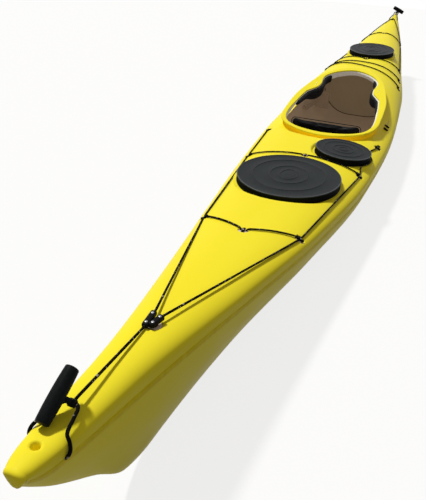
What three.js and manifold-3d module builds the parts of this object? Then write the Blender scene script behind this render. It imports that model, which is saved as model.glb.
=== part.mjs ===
// Sea kayak built of separate pieces. Millimetres: X runs to the bow, Y to port, Z up from the keel.
import * as THREE from "three";
import { mergeVertices } from "three/addons/utils/BufferGeometryUtils.js";
import Module from "manifold-3d";

const wasm = await Module();
wasm.setup();

// Driving dimensions of the boat
const hullLength = 4880;
const beam = 608;
const bowHeight = 483;
const laminate = 4;
const keelHalfWidth = 42;
const seamDrop = 34;
const fit = 0.3;
const seamOverrun = 8;
const overrun = 40;
const mergeTolerance = 0.0001;

// Shape of the boat along its length, from stern 0 to bow 1: shares of half beam and of bow height
const stationShares = [0, 0.002, 0.006, 0.016, 0.04, 0.063, 0.083, 0.16, 0.26, 0.38, 0.5, 0.62, 0.74, 0.84,
  0.92, 0.97, 0.99, 1];
const breadthShares = [0.045, 0.07, 0.09, 0.115, 0.15, 0.185, 0.225, 0.418, 0.674, 0.908, 1, 0.931, 0.707,
  0.51, 0.306, 0.148, 0.06, 0.018];
const sheerShares = [0.783, 0.785, 0.783, 0.77, 0.728, 0.69, 0.66, 0.555, 0.443, 0.375, 0.387, 0.437, 0.503,
  0.59, 0.7, 0.799, 0.855, 0.888];
const ridgeShares = [0.8, 0.812, 0.812, 0.801, 0.773, 0.75, 0.727, 0.638, 0.549, 0.516, 0.565, 0.733, 0.793,
  0.853, 0.901, 0.936, 0.973, 1];
const keelShares = [0.75, 0.725, 0.673, 0.555, 0.321, 0.089, 0.031, 0.01, 0, 0, 0, 0, 0, 0.019, 0.116, 0.389,
  0.6, 0.745];
const flatShares = [0.08, 0.08, 0.08, 0.08, 0.09, 0.1, 0.12, 0.35, 0.8, 1, 1, 1, 0.8, 0.4, 0.13, 0.1,
  0.06, 0.03];
const bilgePowers = [1.25, 1.26, 1.27, 1.3, 1.36, 1.42, 1.47, 1.6, 2.05, 2.55, 2.6, 2.6, 1.95, 1.5, 1.35,
  1.25, 1.2, 1.2];
const crownPower = 2.6;
const crownEdge = 0.62;

// Where the solids take their sections
const skinStationShares = [0, 0.001, 0.003, 0.006, 0.011, 0.018, 0.028, 0.04, 0.052, 0.063, 0.073, 0.083,
  0.105, 0.135, 0.17, 0.21, 0.25, 0.29, 0.33, 0.37, 0.41, 0.45, 0.49, 0.53, 0.57, 0.61, 0.65, 0.69, 0.73,
  0.77, 0.81, 0.845, 0.88, 0.91, 0.935, 0.955, 0.97, 0.982, 0.991, 0.997, 1];
const hollowStationShares = [0.07, 0.083, 0.105, 0.135, 0.17, 0.21, 0.29, 0.37, 0.45, 0.53, 0.61, 0.69, 0.77,
  0.81, 0.845, 0.88, 0.91, 0.935, 0.955];
const crownShares = [1, 0.97, 0.9, 0.78, 0.6, 0.34, 0];
const hollowCrownShares = [1, 0.93, 0.8, 0.6, 0.3, 0];
const bottomSteps = 5;
const gunwaleSteps = 2;
const slopeStep = 0.001;

// Cockpit: the plane of the lip's top rises forward
const cockpit = {
  rear: -305, length: 930, halfWidth: 238, rearTop: 256, frontTop: 379,
  openingRear: -273, openingLength: 849, lipEdge: 25,
  lipThickness: 7, riserInset: 14, riserWall: 5, riserDepth: 95,
  recessDepth: 31, recessInset: 6, recessFloorWidth: 14, recessSlope: 22,
};
const lipSpanShares = [0, 0.012, 0.04, 0.08, 0.13, 0.2, 0.28, 0.38, 0.5, 0.62, 0.73, 0.82, 0.9, 0.955, 0.99,
  1];
const lipWidthShares = [0, 0.3, 0.56, 0.78, 0.92, 0.99, 1, 1, 0.975, 0.9, 0.81, 0.7, 0.54, 0.36, 0.16, 0];
const openingSpanShares = [0, 0.01, 0.035, 0.08, 0.15, 0.25, 0.37, 0.48, 0.555, 0.6, 0.64, 0.7, 0.77, 0.83,
  0.89, 0.94, 0.975, 0.995, 1];
const openingWidthShares = [0, 0.32, 0.62, 0.85, 0.97, 1, 0.97, 0.93, 0.88, 0.78, 0.7, 0.665, 0.69, 0.69, 0.6,
  0.45, 0.28, 0.11, 0];

// Hatches: lid radii along and across the boat, and the height and slope of the lid's top
const hatches = {
  aft: { x: -845, y: 0, radiusLong: 216, radiusWide: 199, top: 263, slope: -0.012, lean: 0 },
  day: { x: -458, y: -138, radiusLong: 120, radiusWide: 120, top: 262, slope: 0, lean: 0.07 },
  bow: { x: 1150, y: 0, radiusLong: 170, radiusWide: 140, top: 396, slope: 0.04, lean: 0 },
};
const hatch = {
  lidTop: 5, skirtWall: 5, skirtHeight: 25, play: 0.5, rimWall: 5, flange: 3, seatDepth: 30,
  seatClearance: 13, plinthDepth: 55, ringWidth: 5, ringHeight: 1.6, edgeRound: 3, dish: 1.5,
};
const ringPlaceShares = [0.7, 0.37, 0.17];
const lidSegments = 20;

// Recessed deck fittings: a bar across each pocket, with two legs to the pocket's floor
const fitting = {
  pocketRadius: 18, pocketFloorRadius: 11.6, pocketDepth: 13, pocketLift: 14, edgeShare: 0.88,
  barLength: 27, barWidth: 8, barTop: 3, barBottom: 5, legReach: 10, legThickness: 2.5,
  postRadius: 5, postTop: 9, postCap: 8, postPlay: 1.2, capThickness: 2, footThickness: 2,
};
const pocketSegments = 8;
const pocketBackSegments = 5;
const pinSegments = 10;
const sternPairShare = -0.26619;
const sternMiddleShare = -0.28279;
const bowPairShare = 0.33607;
const bowMiddleShare = 0.34836;
const bowEndShare = 0.45184;
const fittingPlaces = {
  stern_fitting_port: { x: sternPairShare * hullLength, side: 1 },
  stern_fitting_centre: { x: sternMiddleShare * hullLength, side: 0, across: true },
  stern_fitting_starboard: { x: sternPairShare * hullLength, side: -1 },
  aft_fitting_port: { x: -613, side: 1 },
  aft_fitting_centre: { x: -578, side: 0, across: true },
  aft_fitting_starboard: { x: -613, side: -1 },
  side_fitting_port: { x: -247, side: 1 },
  side_fitting_starboard: { x: -247, side: -1 },
  elastic_fitting_port: { x: 865, side: 1, post: true },
  elastic_fitting_starboard: { x: 791, side: -1 },
  elastic_fitting_rear: { x: 643, side: -1 },
  foredeck_fitting_port: { x: 1015, side: 1 },
  foredeck_fitting_centre: { x: 930, side: 0, across: true },
  foredeck_fitting_starboard: { x: 1015, side: -1 },
  bow_fitting_port: { x: bowPairShare * hullLength, side: 1 },
  bow_fitting_centre: { x: bowMiddleShare * hullLength, side: 0, across: true },
  bow_fitting_starboard: { x: bowPairShare * hullLength, side: -1 },
  bow_junction: { x: bowEndShare * hullLength, side: 0, post: true },
};

// Deck lines: how they lie on the deck, and how they dip under a fitting's bar
const cordRadius = 2.5;
const cordSides = 6;
const roundSides = 8;
const cordClearance = 2;
const cordSpacing = 160;
const crossSpacing = 36;
const hatchPassShares = [[-0.78, 0.93], [-0.4, 1.01], [0, 1.035], [0.4, 1.01], [0.85, 0.95]];
const dipReachShares = [1.44, 1.12, 0.8, 0.5, 0.26];
const dipHeightShares = [0.19, 0.185, 0.12, -0.28, -0.47];
const dipLowestShare = -0.517;
const tieReachShares = [1.44, 1.12, 0.88];
const tieHeightShares = [0.2, 0.2, 0.1];
const tieEndShare = -0.02;
const wrapAngles = [-1.5, -1, -0.5, 0, 0.5, 1, 1.5];

// Two-block cord fitting on the aft deck
const veePlaceShare = -0.40676;
const veeFitting = {
  x: veePlaceShare * hullLength, pocketRadius: 24, pocketFloorRadius: 17, pocketDepth: 8, foot: 13,
  footThickness: 3, lift: 3.5, height: 13, width: 15, gap: 2, rear: 27, front: 28, shortRear: 20,
  shortFront: 23, turn: 0.06, shortTurn: -0.22, bridgeReach: 11, bridgeHeight: 10,
};

// Toggles: barrel, stem and the knuckle that turns on a loop of cord
const toggle = { length: 104, radius: 12, endRadius: 10.4, shoulderShare: 0.36, waistRadius: 10.8,
  stemRadius: 5.5, knuckleRadius: 7.5, knuckleWidth: 14, segments: 12 };
const sternToggle = { end: -1, inset: 138, y: 13, z: 418, axis: [0.912, 0, 0.41], knuckleInset: 150,
  knuckleY: -6, knuckleZ: 397 };
const bowToggle = { end: 1, inset: 46, y: -14, z: 496, axis: [0.1, -0.9, -0.42], knuckleInset: 68,
  knuckleY: -6, knuckleZ: 481 };
const rudderSocket = { end: -1, inset: 57, radius: 6.5, depth: 28 };

// Toggle loops: points of one side from knuckle to hole, as inset from the boat's end, Y and Z
const sternLoop = [[98, 30.5, 387.5], [93, 37.5, 377], [89.5, 40.5, 366], [87, 38.5, 355], [85.5, 34, 347.5],
  [84.5, 28.5, 343.5]];
const bowLoop = [[90, 15.5, 462.5], [130, 21, 458], [164, 28.5, 447.6], [182, 31, 441.5], [190, 31.8, 434],
  [194, 32.2, 428.5]];
const loopRiseShares = [[0.12, 0.02], [0.5, 0.42]];

// Bulkheads
const bulkheadThickness = 8;
const bulkheadPlaces = { bulkhead_front: 950, bulkhead_rear: -318, bulkhead_day: -600 };

// Seat, backband and pads
const seat = { rear: -235, front: 125, halfWidth: 178, wall: 6, pan: 34, cheekBack: 208, dish: 22,
  floorShare: 0.62, rows: 8, risePower: 1.5 };
const backband = { height: 88, thickness: 26, halfWidth: 168, curve: 24, round: 20, forward: 22, overlap: 18,
  knuckleRadius: 8, knuckleHalf: 12, knuckleAt: 84 };
const hipPad = { x: -128, length: 110, height: 70, thickness: 20, bottom: 96, round: 16 };
const thighPad = { from: 350, to: 800, thickness: 40, inset: -5 };
const cushionSpreadShares = [0.3, 0.8, 1, 0.8, 0.3];
const cushionDepthShares = [0, 0.2, 0.5, 0.8, 1];
const cornerAngleShares = [0, 0.33, 0.67, 1];
const noseAngleShares = [0.5, 0.3, 0.1, -0.1, -0.3];

// Foot braces on the hull's sides
const footrest = { rear: 520, length: 360, z: 128, railHeight: 26, railDepth: 8, standoff: 20,
  standLength: 22, pedalHeight: 108, pedalRise: 24, pedalWidth: 74, pedalThickness: 12, clipLength: 44,
  clipWall: 5, clipLip: 5, play: 0.6 };

// Skeg, its box and cable, and the control beside the cockpit
const skeg = { front: -1240, rear: -1590, thickness: 8, boxWall: 4, boxGap: 3, boxHeight: 104, pivotInset: 30,
  pivotHeight: 42, pinRadius: 4, noseRadius: 26, reach: 306, depthBelow: 36, depthAbove: 50, heel: 12,
  slotHalfWidth: 6, socket: 1 };
const slider = { rearX: 3, x: 46, width: 8, height: 7, lift: 1, slotWidth: 5, travel: 90, stemDepth: 12,
  stemWidth: 4 };
const sliderPlaceShare = 0.3636;
const sliderLengthShare = 0.394;
const cableRadius = 3;

// Colours and finishes
function finish(color, roughness, metalness) {
  return new THREE.MeshStandardMaterial({ color, roughness, metalness });
}
const yellow = finish(0xf0e62e, 0.22, 0);
const rubber = finish(0x2b2e31, 0.55, 0);
const blackPlastic = finish(0x161617, 0.35, 0);
const cordBlack = finish(0x1b1a1b, 0.8, 0);
const foam = finish(0x17181a, 0.75, 0);
const greyLaminate = finish(0x8d857a, 0.5, 0);
const aluminium = finish(0x9a9da1, 0.4, 1);

const kayak = new THREE.Group();
function addPiece(name, geometry, material, place) {
  const mesh = new THREE.Mesh(geometry, material);
  mesh.name = name;
  if (place) {
    place.decompose(mesh.position, mesh.quaternion, mesh.scale);
  }
  kayak.add(mesh);
  return mesh;
}

// Smooth curve through a table that never overshoots its values
function smooth(stations, values, at) {
  const last = stations.length - 1;
  const clamped = Math.min(Math.max(at, stations[0]), stations[last]);
  let i = 0;
  while (i < last - 1 && clamped > stations[i + 1]) {
    i += 1;
  }
  const slope = (k) => (values[k + 1] - values[k]) / (stations[k + 1] - stations[k]);
  const tangent = (k) => {
    if (k === 0) {
      return slope(0);
    }
    if (k === last) {
      return slope(last - 1);
    }
    const before = slope(k - 1);
    const after = slope(k);
    return before * after <= 0 ? 0 : (2 * before * after) / (before + after);
  };
  const span = stations[i + 1] - stations[i];
  const t = (clamped - stations[i]) / span;
  const rise = t * t * (3 - 2 * t);
  const start = t * (1 - t) * (1 - t) * span * tangent(i);
  const end = t * t * (t - 1) * span * tangent(i + 1);
  return values[i] + (values[i + 1] - values[i]) * rise + start + end;
}

// Sizes of the boat's cross section at one place along it
function stationAt(share) {
  return (share - 0.5) * hullLength;
}
function fromEnd(end, inset) {
  return end * (hullLength / 2 - inset);
}
function sectionAt(x) {
  const share = x / hullLength + 0.5;
  const half = (beam / 2) * smooth(stationShares, breadthShares, share);
  const sheer = bowHeight * smooth(stationShares, sheerShares, share);
  const keel = bowHeight * smooth(stationShares, keelShares, share);
  return {
    half,
    sheer,
    keel,
    ridge: bowHeight * smooth(stationShares, ridgeShares, share),
    flat: Math.min(keelHalfWidth * smooth(stationShares, flatShares, share), half / 3),
    power: smooth(stationShares, bilgePowers, share),
    drop: Math.min(seamDrop, (sheer - keel) / 2),
  };
}

function deckHeight(x, y) {
  const section = sectionAt(x);
  const t = Math.min(Math.abs(y) / section.half, 1);
  return section.sheer + (section.ridge - section.sheer) * (1 - t ** crownPower) ** crownEdge;
}

// Points of the port half of a section, as [y, z]: the side below the sheer by angle, the deck by share
function sidePoint(section, angle) {
  const y = section.flat + (section.half - section.flat) * Math.sin(angle) ** (2 / section.power);
  const z = section.sheer - (section.sheer - section.keel) * Math.cos(angle) ** (2 / section.power);
  return [y, z];
}
function deckPoint(section, t) {
  const rise = (1 - t ** crownPower) ** crownEdge;
  return [section.half * t, section.sheer + (section.ridge - section.sheer) * rise];
}
function angleAtDrop(section, drop) {
  return Math.acos((drop / (section.sheer - section.keel)) ** (section.power / 2));
}

// The same point moved inwards, square to the curve
function insetPoint(curve, at, low, high, direction, depth) {
  const before = curve(Math.max(at - slopeStep, low));
  const after = curve(Math.min(at + slopeStep, high));
  const dy = (after[0] - before[0]) * direction;
  const dz = (after[1] - before[1]) * direction;
  const size = Math.hypot(dy, dz);
  const point = curve(at);
  return [Math.max(point[0] - (dz / size) * depth, 0), point[1] + (dy / size) * depth];
}
function hullHalf(x, depth, drop) {
  const section = sectionAt(x);
  const top = angleAtDrop(section, section.drop + drop);
  const points = [];
  for (let i = 0; i <= bottomSteps; i += 1) {
    const angle = top * (i / bottomSteps);
    points.push(insetPoint((a) => sidePoint(section, a), angle, 0, Math.PI / 2, 1, depth));
  }
  return points;
}
function deckHalf(x, depth, shares) {
  const section = sectionAt(x);
  const low = angleAtDrop(section, section.drop);
  const points = [];
  for (let i = 0; i < gunwaleSteps; i += 1) {
    const angle = low + (Math.PI / 2 - low) * (i / gunwaleSteps);
    points.push(insetPoint((a) => sidePoint(section, a), angle, 0, Math.PI / 2, 1, depth));
  }
  shares.forEach((t) => {
    points.push(insetPoint((s) => deckPoint(section, s), t, 0, 1, -1, depth));
  });
  return points;
}

// A closed ring in the plane across the boat, from the port half's points
function ringFromHalf(x, half) {
  const port = half.map(([y, z]) => new THREE.Vector3(x, y, z));
  const starboard = half.filter(([y]) => y > 0).map(([y, z]) => new THREE.Vector3(x, -y, z));
  return [...port, ...starboard.reverse()];
}

// Closed body through rings that have the same number of points
function loftGeometry(rings) {
  const count = rings[0].length;
  const vertices = [];
  const faces = [];
  rings.forEach((ring) => ring.forEach((point) => vertices.push(point.x, point.y, point.z)));
  for (let r = 0; r < rings.length - 1; r += 1) {
    for (let i = 0; i < count; i += 1) {
      const a = r * count + i;
      const b = r * count + ((i + 1) % count);
      faces.push(a, b, a + count, b, b + count, a + count);
    }
  }
  [0, rings.length - 1].forEach((r) => {
    const middle = new THREE.Vector3();
    rings[r].forEach((point) => middle.addScaledVector(point, 1 / count));
    const centre = vertices.length / 3;
    vertices.push(middle.x, middle.y, middle.z);
    for (let i = 0; i < count; i += 1) {
      const a = r * count + i;
      const b = r * count + ((i + 1) % count);
      faces.push(...(r === 0 ? [b, a, centre] : [a, b, centre]));
    }
  });
  return facingOut(vertices, faces);
}

// Turns every face round where the body would otherwise be inside out
function facingOut(vertices, faces) {
  const corner = (i) => new THREE.Vector3().fromArray(vertices, 3 * faces[i]);
  let volume = 0;
  for (let i = 0; i < faces.length; i += 3) {
    volume += corner(i).dot(corner(i + 1).cross(corner(i + 2)));
  }
  if (volume < 0) {
    faces.reverse();
  }
  const geometry = new THREE.BufferGeometry();
  geometry.setAttribute("position", new THREE.BufferAttribute(new Float32Array(vertices), 3));
  geometry.setIndex(faces);
  return geometry;
}

// Between three.js geometry and the library that cuts and joins
function solidOf(geometry, matrix) {
  const shape = geometry.clone();
  if (matrix) {
    shape.applyMatrix4(matrix);
  }
  shape.deleteAttribute("normal");
  shape.deleteAttribute("uv");
  const merged = mergeVertices(shape, mergeTolerance);
  return new wasm.Manifold(new wasm.Mesh({
    numProp: 3,
    vertProperties: new Float32Array(merged.attributes.position.array),
    triVerts: new Uint32Array(merged.index.array),
  }));
}
function geometryOf(solid) {
  const mesh = solid.getMesh();
  const geometry = new THREE.BufferGeometry();
  geometry.setAttribute("position", new THREE.BufferAttribute(new Float32Array(mesh.vertProperties), 3));
  geometry.setIndex(new THREE.BufferAttribute(new Uint32Array(mesh.triVerts), 1));
  return geometry;
}
function joined(solids) {
  return solids.reduce((sum, solid) => sum.add(solid));
}
function moved(solid, dx, dy, dz) {
  const matrix = new THREE.Matrix4().makeTranslation(dx, dy, dz);
  return solidOf(geometryOf(solid), matrix);
}

// Frames: one at a point with given slopes, one lying on the deck
function tiltedFrame(x, y, z, slope, lean) {
  const along = new THREE.Vector3(1, 0, slope).normalize();
  const across = new THREE.Vector3(0, 1, lean).normalize();
  const up = along.clone().cross(across).normalize();
  const side = up.clone().cross(along);
  return new THREE.Matrix4().makeBasis(along, side, up).setPosition(x, y, z);
}
function frameAlong(position, direction, upHint) {
  const along = direction.clone().normalize();
  const side = upHint.clone().cross(along).normalize();
  const up = along.clone().cross(side);
  return new THREE.Matrix4().makeBasis(along, side, up).setPosition(position);
}
function deckNormal(x, y) {
  const step = fitting.pocketRadius / 2;
  const alongRise = deckHeight(x + step, y) - deckHeight(x - step, y);
  const acrossRise = deckHeight(x, y + step) - deckHeight(x, y - step);
  return new THREE.Vector3(-alongRise, -acrossRise, 2 * step).normalize();
}

// Outlines across a plane: a half table mirrored into a closed smooth line, and the same line grown
function outlineFrom(spanShares, widthShares, rear, length, halfWidth, steps) {
  const half = spanShares.map((s, i) => new THREE.Vector3(rear + s * length, widthShares[i] * halfWidth, 0));
  const other = half.slice(1, -1).reverse().map((point) => new THREE.Vector3(point.x, -point.y, 0));
  const curve = new THREE.CatmullRomCurve3([...half, ...other], true, "centripetal");
  return curve.getPoints(steps).slice(0, -1).map((point) => new THREE.Vector2(point.x, point.y));
}
function grown(outline, distance) {
  const count = outline.length;
  const turn = THREE.ShapeUtils.isClockWise(outline) ? -1 : 1;
  return outline.map((point, i) => {
    const ahead = outline[(i + 1) % count];
    const behind = outline[(i + count - 1) % count];
    const tangent = ahead.clone().sub(behind).normalize();
    return new THREE.Vector2(point.x + turn * tangent.y * distance, point.y - turn * tangent.x * distance);
  });
}
function prism(outline, low, high) {
  const shape = new THREE.Shape(outline);
  const body = new THREE.ExtrudeGeometry(shape, { depth: high - low, bevelEnabled: false });
  return body.translate(0, 0, low);
}
function taper(outlineLow, low, outlineHigh, high) {
  const ring = (outline, z) => outline.map((point) => new THREE.Vector3(point.x, point.y, z));
  return loftGeometry([ring(outlineLow, low), ring(outlineHigh, high)]);
}
function ellipse(radiusLong, radiusWide, steps) {
  return Array.from({ length: steps }, (unused, i) => {
    const angle = (2 * Math.PI * i) / steps;
    return new THREE.Vector2(radiusLong * Math.cos(angle), radiusWide * Math.sin(angle));
  });
}
function drum(radius, low, high, segments) {
  const profile = [[0, low], [radius, low], [radius, high], [0, high]];
  const line = profile.map(([r, z]) => new THREE.Vector2(r, z));
  return new THREE.LatheGeometry(line, segments).rotateX(Math.PI / 2);
}
function turned(profile, segments) {
  const points = profile.map(([r, z]) => new THREE.Vector2(r, z));
  return new THREE.LatheGeometry(points, segments).rotateX(Math.PI / 2);
}
function boxBetween(low, high) {
  const size = [0, 1, 2].map((i) => high[i] - low[i]);
  const middle = [0, 1, 2].map((i) => (high[i] + low[i]) / 2);
  return new THREE.BoxGeometry(...size).translate(...middle);
}

// A route whose sections lie at its own points, close together where it bends
class Route extends THREE.CatmullRomCurve3 {
  getUtoTmapping(share) {
    return share;
  }
}
function tube(points, radius, sides) {
  const route = new Route(points, false, "centripetal");
  const outline = new THREE.Shape(ellipse(radius, radius, sides));
  const steps = points.length - 1;
  return new THREE.ExtrudeGeometry(outline, { steps, bevelEnabled: false, extrudePath: route });
}

// Cockpit plane and its outlines
const cockpitSlope = (cockpit.frontTop - cockpit.rearTop) / cockpit.length;
const cockpitFrame = tiltedFrame(cockpit.rear, 0, cockpit.rearTop, cockpitSlope, 0);
const outlineSteps = 40;
const lipOutline = outlineFrom(lipSpanShares, lipWidthShares, 0, cockpit.length, cockpit.halfWidth,
  outlineSteps);
const openingOutline = outlineFrom(openingSpanShares, openingWidthShares, cockpit.openingRear - cockpit.rear,
  cockpit.openingLength, cockpit.halfWidth - cockpit.lipEdge, outlineSteps);
const riserOuter = grown(lipOutline, -cockpit.riserInset);
const riserInner = grown(lipOutline, -cockpit.riserInset - cockpit.riserWall);

// Recess tools, each for a skin that lies a depth below the deck's outside
function cockpitRecess(depth) {
  const floor = -cockpit.recessDepth - depth;
  const edge = grown(lipOutline, cockpit.recessFloorWidth + depth);
  const wide = grown(lipOutline, cockpit.recessFloorWidth + cockpit.recessSlope + depth);
  return solidOf(taper(edge, floor, wide, -cockpit.recessInset), cockpitFrame)
    .add(solidOf(prism(wide, -cockpit.recessInset - seamOverrun, overrun), cockpitFrame));
}
function hatchFrame(h) {
  return tiltedFrame(h.x, h.y, h.top, h.slope, h.lean);
}
function hatchPrism(h, grow, low, high) {
  const outline = ellipse(h.radiusLong + grow, h.radiusWide + grow, lidSegments);
  return solidOf(prism(outline, low, high), hatchFrame(h));
}
function fittingFrame(place) {
  const y = place.side * fitting.edgeShare * sectionAt(place.x).half;
  return deckFrame(place.x, y);
}
function deckFrame(x, y) {
  return frameAlong(new THREE.Vector3(x, y, deckHeight(x, y)), new THREE.Vector3(1, 0, 0), deckNormal(x, y));
}
function pocketTool(frame, sizes, skin) {
  const rise = fitting.pocketLift;
  const slope = (sizes.pocketRadius - sizes.pocketFloorRadius) / sizes.pocketDepth;
  const low = -sizes.pocketDepth - skin;
  const profile = [[0, low], [sizes.pocketFloorRadius + skin, low],
    [sizes.pocketRadius + skin + slope * rise, rise], [0, rise]];
  return solidOf(turned(profile, skin > 0 ? pocketBackSegments : pocketSegments), frame);
}
function allPockets(skin) {
  const pockets = Object.values(fittingPlaces).map((place) => pocketTool(fittingFrame(place), fitting, skin));
  pockets.push(pocketTool(deckFrame(veeFitting.x, 0), veeFitting, skin));
  return joined(pockets);
}

// Hollows of the hull and the deck, a depth inside the skins
function hullHollow(depth) {
  const rings = hollowStationShares.map((share) => {
    const x = stationAt(share);
    const half = hullHalf(x, depth, 0);
    const rim = half[half.length - 1];
    return ringFromHalf(x, [...half, [rim[0], rim[1] + seamOverrun]]);
  });
  return solidOf(loftGeometry(rings));
}
function deckHollow(depth, below) {
  const rings = hollowStationShares.map((share) => {
    const x = stationAt(share);
    const half = deckHalf(x, depth, hollowCrownShares);
    return ringFromHalf(x, [[half[0][0], half[0][1] - below], ...half]);
  });
  let hollow = solidOf(loftGeometry(rings));
  hollow = hollow.subtract(cockpitRecess(depth));
  Object.values(hatches).forEach((h) => {
    hollow = hollow.subtract(hatchPrism(h, hatch.seatClearance + depth, -hatch.seatDepth - depth, overrun));
  });
  return hollow.subtract(allPockets(depth));
}

// The deck without openings: its outside with the hatch plinths, the recesses and the pockets
function deckBlock() {
  const rings = skinStationShares.map((share) => {
    const x = stationAt(share);
    return ringFromHalf(x, deckHalf(x, 0, crownShares));
  });
  let block = solidOf(loftGeometry(rings));
  Object.values(hatches).forEach((h) => {
    block = block.add(hatchPrism(h, hatch.seatClearance, -hatch.plinthDepth, -hatch.seatDepth));
  });
  block = block.subtract(cockpitRecess(0));
  Object.values(hatches).forEach((h) => {
    block = block.subtract(hatchPrism(h, hatch.seatClearance, -hatch.seatDepth, overrun));
  });
  return block.subtract(allPockets(0));
}
function rimInnerGrow() {
  return -hatch.skirtWall - hatch.play - hatch.rimWall;
}
const sideDeckWidth = sectionAt(slider.x).half - cockpit.halfWidth;
const sliderY = -cockpit.halfWidth - sliderPlaceShare * sideDeckWidth;
function sliderFrame() {
  const start = new THREE.Vector3(slider.x, sliderY, deckHeight(slider.x, sliderY));
  const endX = slider.x + slider.travel;
  const end = new THREE.Vector3(endX, sliderY, deckHeight(endX, sliderY));
  return frameAlong(start, end.sub(start), deckNormal(slider.x, sliderY));
}
function sliderSlot() {
  const half = slider.slotWidth / 2;
  const margin = slider.stemWidth;
  const slot = boxBetween([-margin, -half, -overrun], [slider.travel + margin, half, overrun]);
  return solidOf(slot, sliderFrame());
}

// Cord loop of a toggle: out of one hole, through the knuckle, into the other
function loopSolid(t, sidePoints, grow) {
  const half = sidePoints.map(([inset, y, z]) => [fromEnd(t.end, inset), y, z]);
  const last = half[half.length - 1];
  const before = half[half.length - 2];
  const end = new THREE.Vector3(...last);
  const deeper = end.clone().addScaledVector(end.clone().sub(new THREE.Vector3(...before)).normalize(), grow);
  half[half.length - 1] = deeper.toArray();
  const lead = toggle.knuckleWidth / 2 + cordRadius;
  const knuckleX = fromEnd(t.end, t.knuckleInset);
  const mirrored = (side) => [[knuckleX, t.knuckleY + side * lead, t.knuckleZ], ...loopRise(t, half[0], side),
    ...half.map(([x, y, z]) => [x, side * y, z])].map((point) => new THREE.Vector3(...point));
  return solidOf(tube([...mirrored(1).reverse(), ...mirrored(-1)], cordRadius + grow, roundSides));
}
function loopRise(t, first, side) {
  const start = [fromEnd(t.end, t.knuckleInset), t.knuckleY + side * toggle.knuckleWidth, t.knuckleZ];
  return loopRiseShares.map(([along, drop]) => [start[0] + (first[0] - start[0]) * along,
    start[1] + (side * first[1] - start[1]) * along, start[2] + (first[2] - start[2]) * drop]);
}

// Hull and deck
const deckSolid = deckBlock();
const hullInside = hullHollow(laminate);
const deckInside = deckHollow(laminate, seamOverrun);

function socketTool() {
  const x = fromEnd(rudderSocket.end, rudderSocket.inset);
  const top = deckHeight(x, 0);
  return solidOf(drum(rudderSocket.radius, top - rudderSocket.depth, top + overrun, pocketSegments)
    .translate(x, 0, 0));
}
function deckGeometry() {
  let deck = deckSolid.subtract(deckInside);
  deck = deck.subtract(solidOf(prism(riserInner, -bowHeight, overrun), cockpitFrame));
  Object.values(hatches).forEach((h) => {
    deck = deck.subtract(hatchPrism(h, rimInnerGrow(), -bowHeight, overrun));
  });
  deck = deck.subtract(socketTool()).subtract(sliderSlot());
  return geometryOf(deck.subtract(loopSolid(sternToggle, sternLoop, fit))
    .subtract(loopSolid(bowToggle, bowLoop, fit)));
}
function hullGeometry() {
  const rings = skinStationShares.map((share) => {
    const x = stationAt(share);
    return ringFromHalf(x, hullHalf(x, 0, fit));
  });
  const slot = boxBetween([skeg.rear, -skeg.slotHalfWidth, -overrun],
    [skeg.front, skeg.slotHalfWidth, overrun]);
  return geometryOf(solidOf(loftGeometry(rings)).subtract(hullInside).subtract(solidOf(slot)));
}
addPiece("hull", hullGeometry(), yellow);
addPiece("deck", deckGeometry(), yellow);

// Coaming: flat lip with two thigh braces, and the riser that stands on the deck
function coamingGeometry() {
  const lip = solidOf(prism(lipOutline, -cockpit.lipThickness, 0), cockpitFrame);
  const riser = solidOf(prism(riserOuter, -cockpit.riserDepth, -cockpit.lipThickness / 2), cockpitFrame)
    .subtract(solidOf(prism(riserInner, -cockpit.riserDepth - overrun, overrun), cockpitFrame));
  const opening = solidOf(prism(openingOutline, -cockpit.lipThickness - overrun, overrun), cockpitFrame);
  return geometryOf(lip.subtract(opening).add(riser).subtract(moved(deckSolid, 0, 0, fit)));
}
addPiece("coaming", coamingGeometry(), yellow);

// Hatch rims and lids: bodies of oval rings, each ring an inset from the lid's edge and a height
function ovalBody(h, profile) {
  return loftGeometry(profile.map(([inset, z]) => ellipse(h.radiusLong - inset, h.radiusWide - inset,
    lidSegments)
    .map((point) => new THREE.Vector3(point.x, point.y, z))));
}
function rimGeometry(h) {
  const low = -hatch.seatDepth + fit;
  const spigot = hatch.skirtWall + hatch.play;
  const top = -hatch.lidTop - hatch.play;
  const outside = solidOf(ovalBody(h, [[0, low], [0, low + hatch.flange], [spigot, low + hatch.flange],
    [spigot, top]]));
  const bore = ovalBody(h, [[-rimInnerGrow(), -overrun], [-rimInnerGrow(), overrun]]);
  return geometryOf(outside.subtract(solidOf(bore)));
}
function lidGeometry(h) {
  const profile = [[hatch.skirtWall, -hatch.lidTop], [hatch.skirtWall, -hatch.skirtHeight],
    [0, -hatch.skirtHeight], [0, -hatch.edgeRound], [hatch.edgeRound, 0]];
  ringPlaceShares.forEach((share) => {
    const inset = h.radiusWide * (1 - share);
    const crest = hatch.ringHeight - hatch.dish;
    profile.push([inset - hatch.ringWidth, -hatch.dish], [inset, crest],
      [inset + hatch.ringWidth, -hatch.dish]);
  });
  return ovalBody(h, profile);
}
Object.entries(hatches).forEach(([name, h]) => {
  addPiece(`${name}_hatch_rim`, rimGeometry(h), blackPlastic, hatchFrame(h));
  addPiece(`${name}_hatch_lid`, lidGeometry(h), rubber, hatchFrame(h));
});

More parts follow.
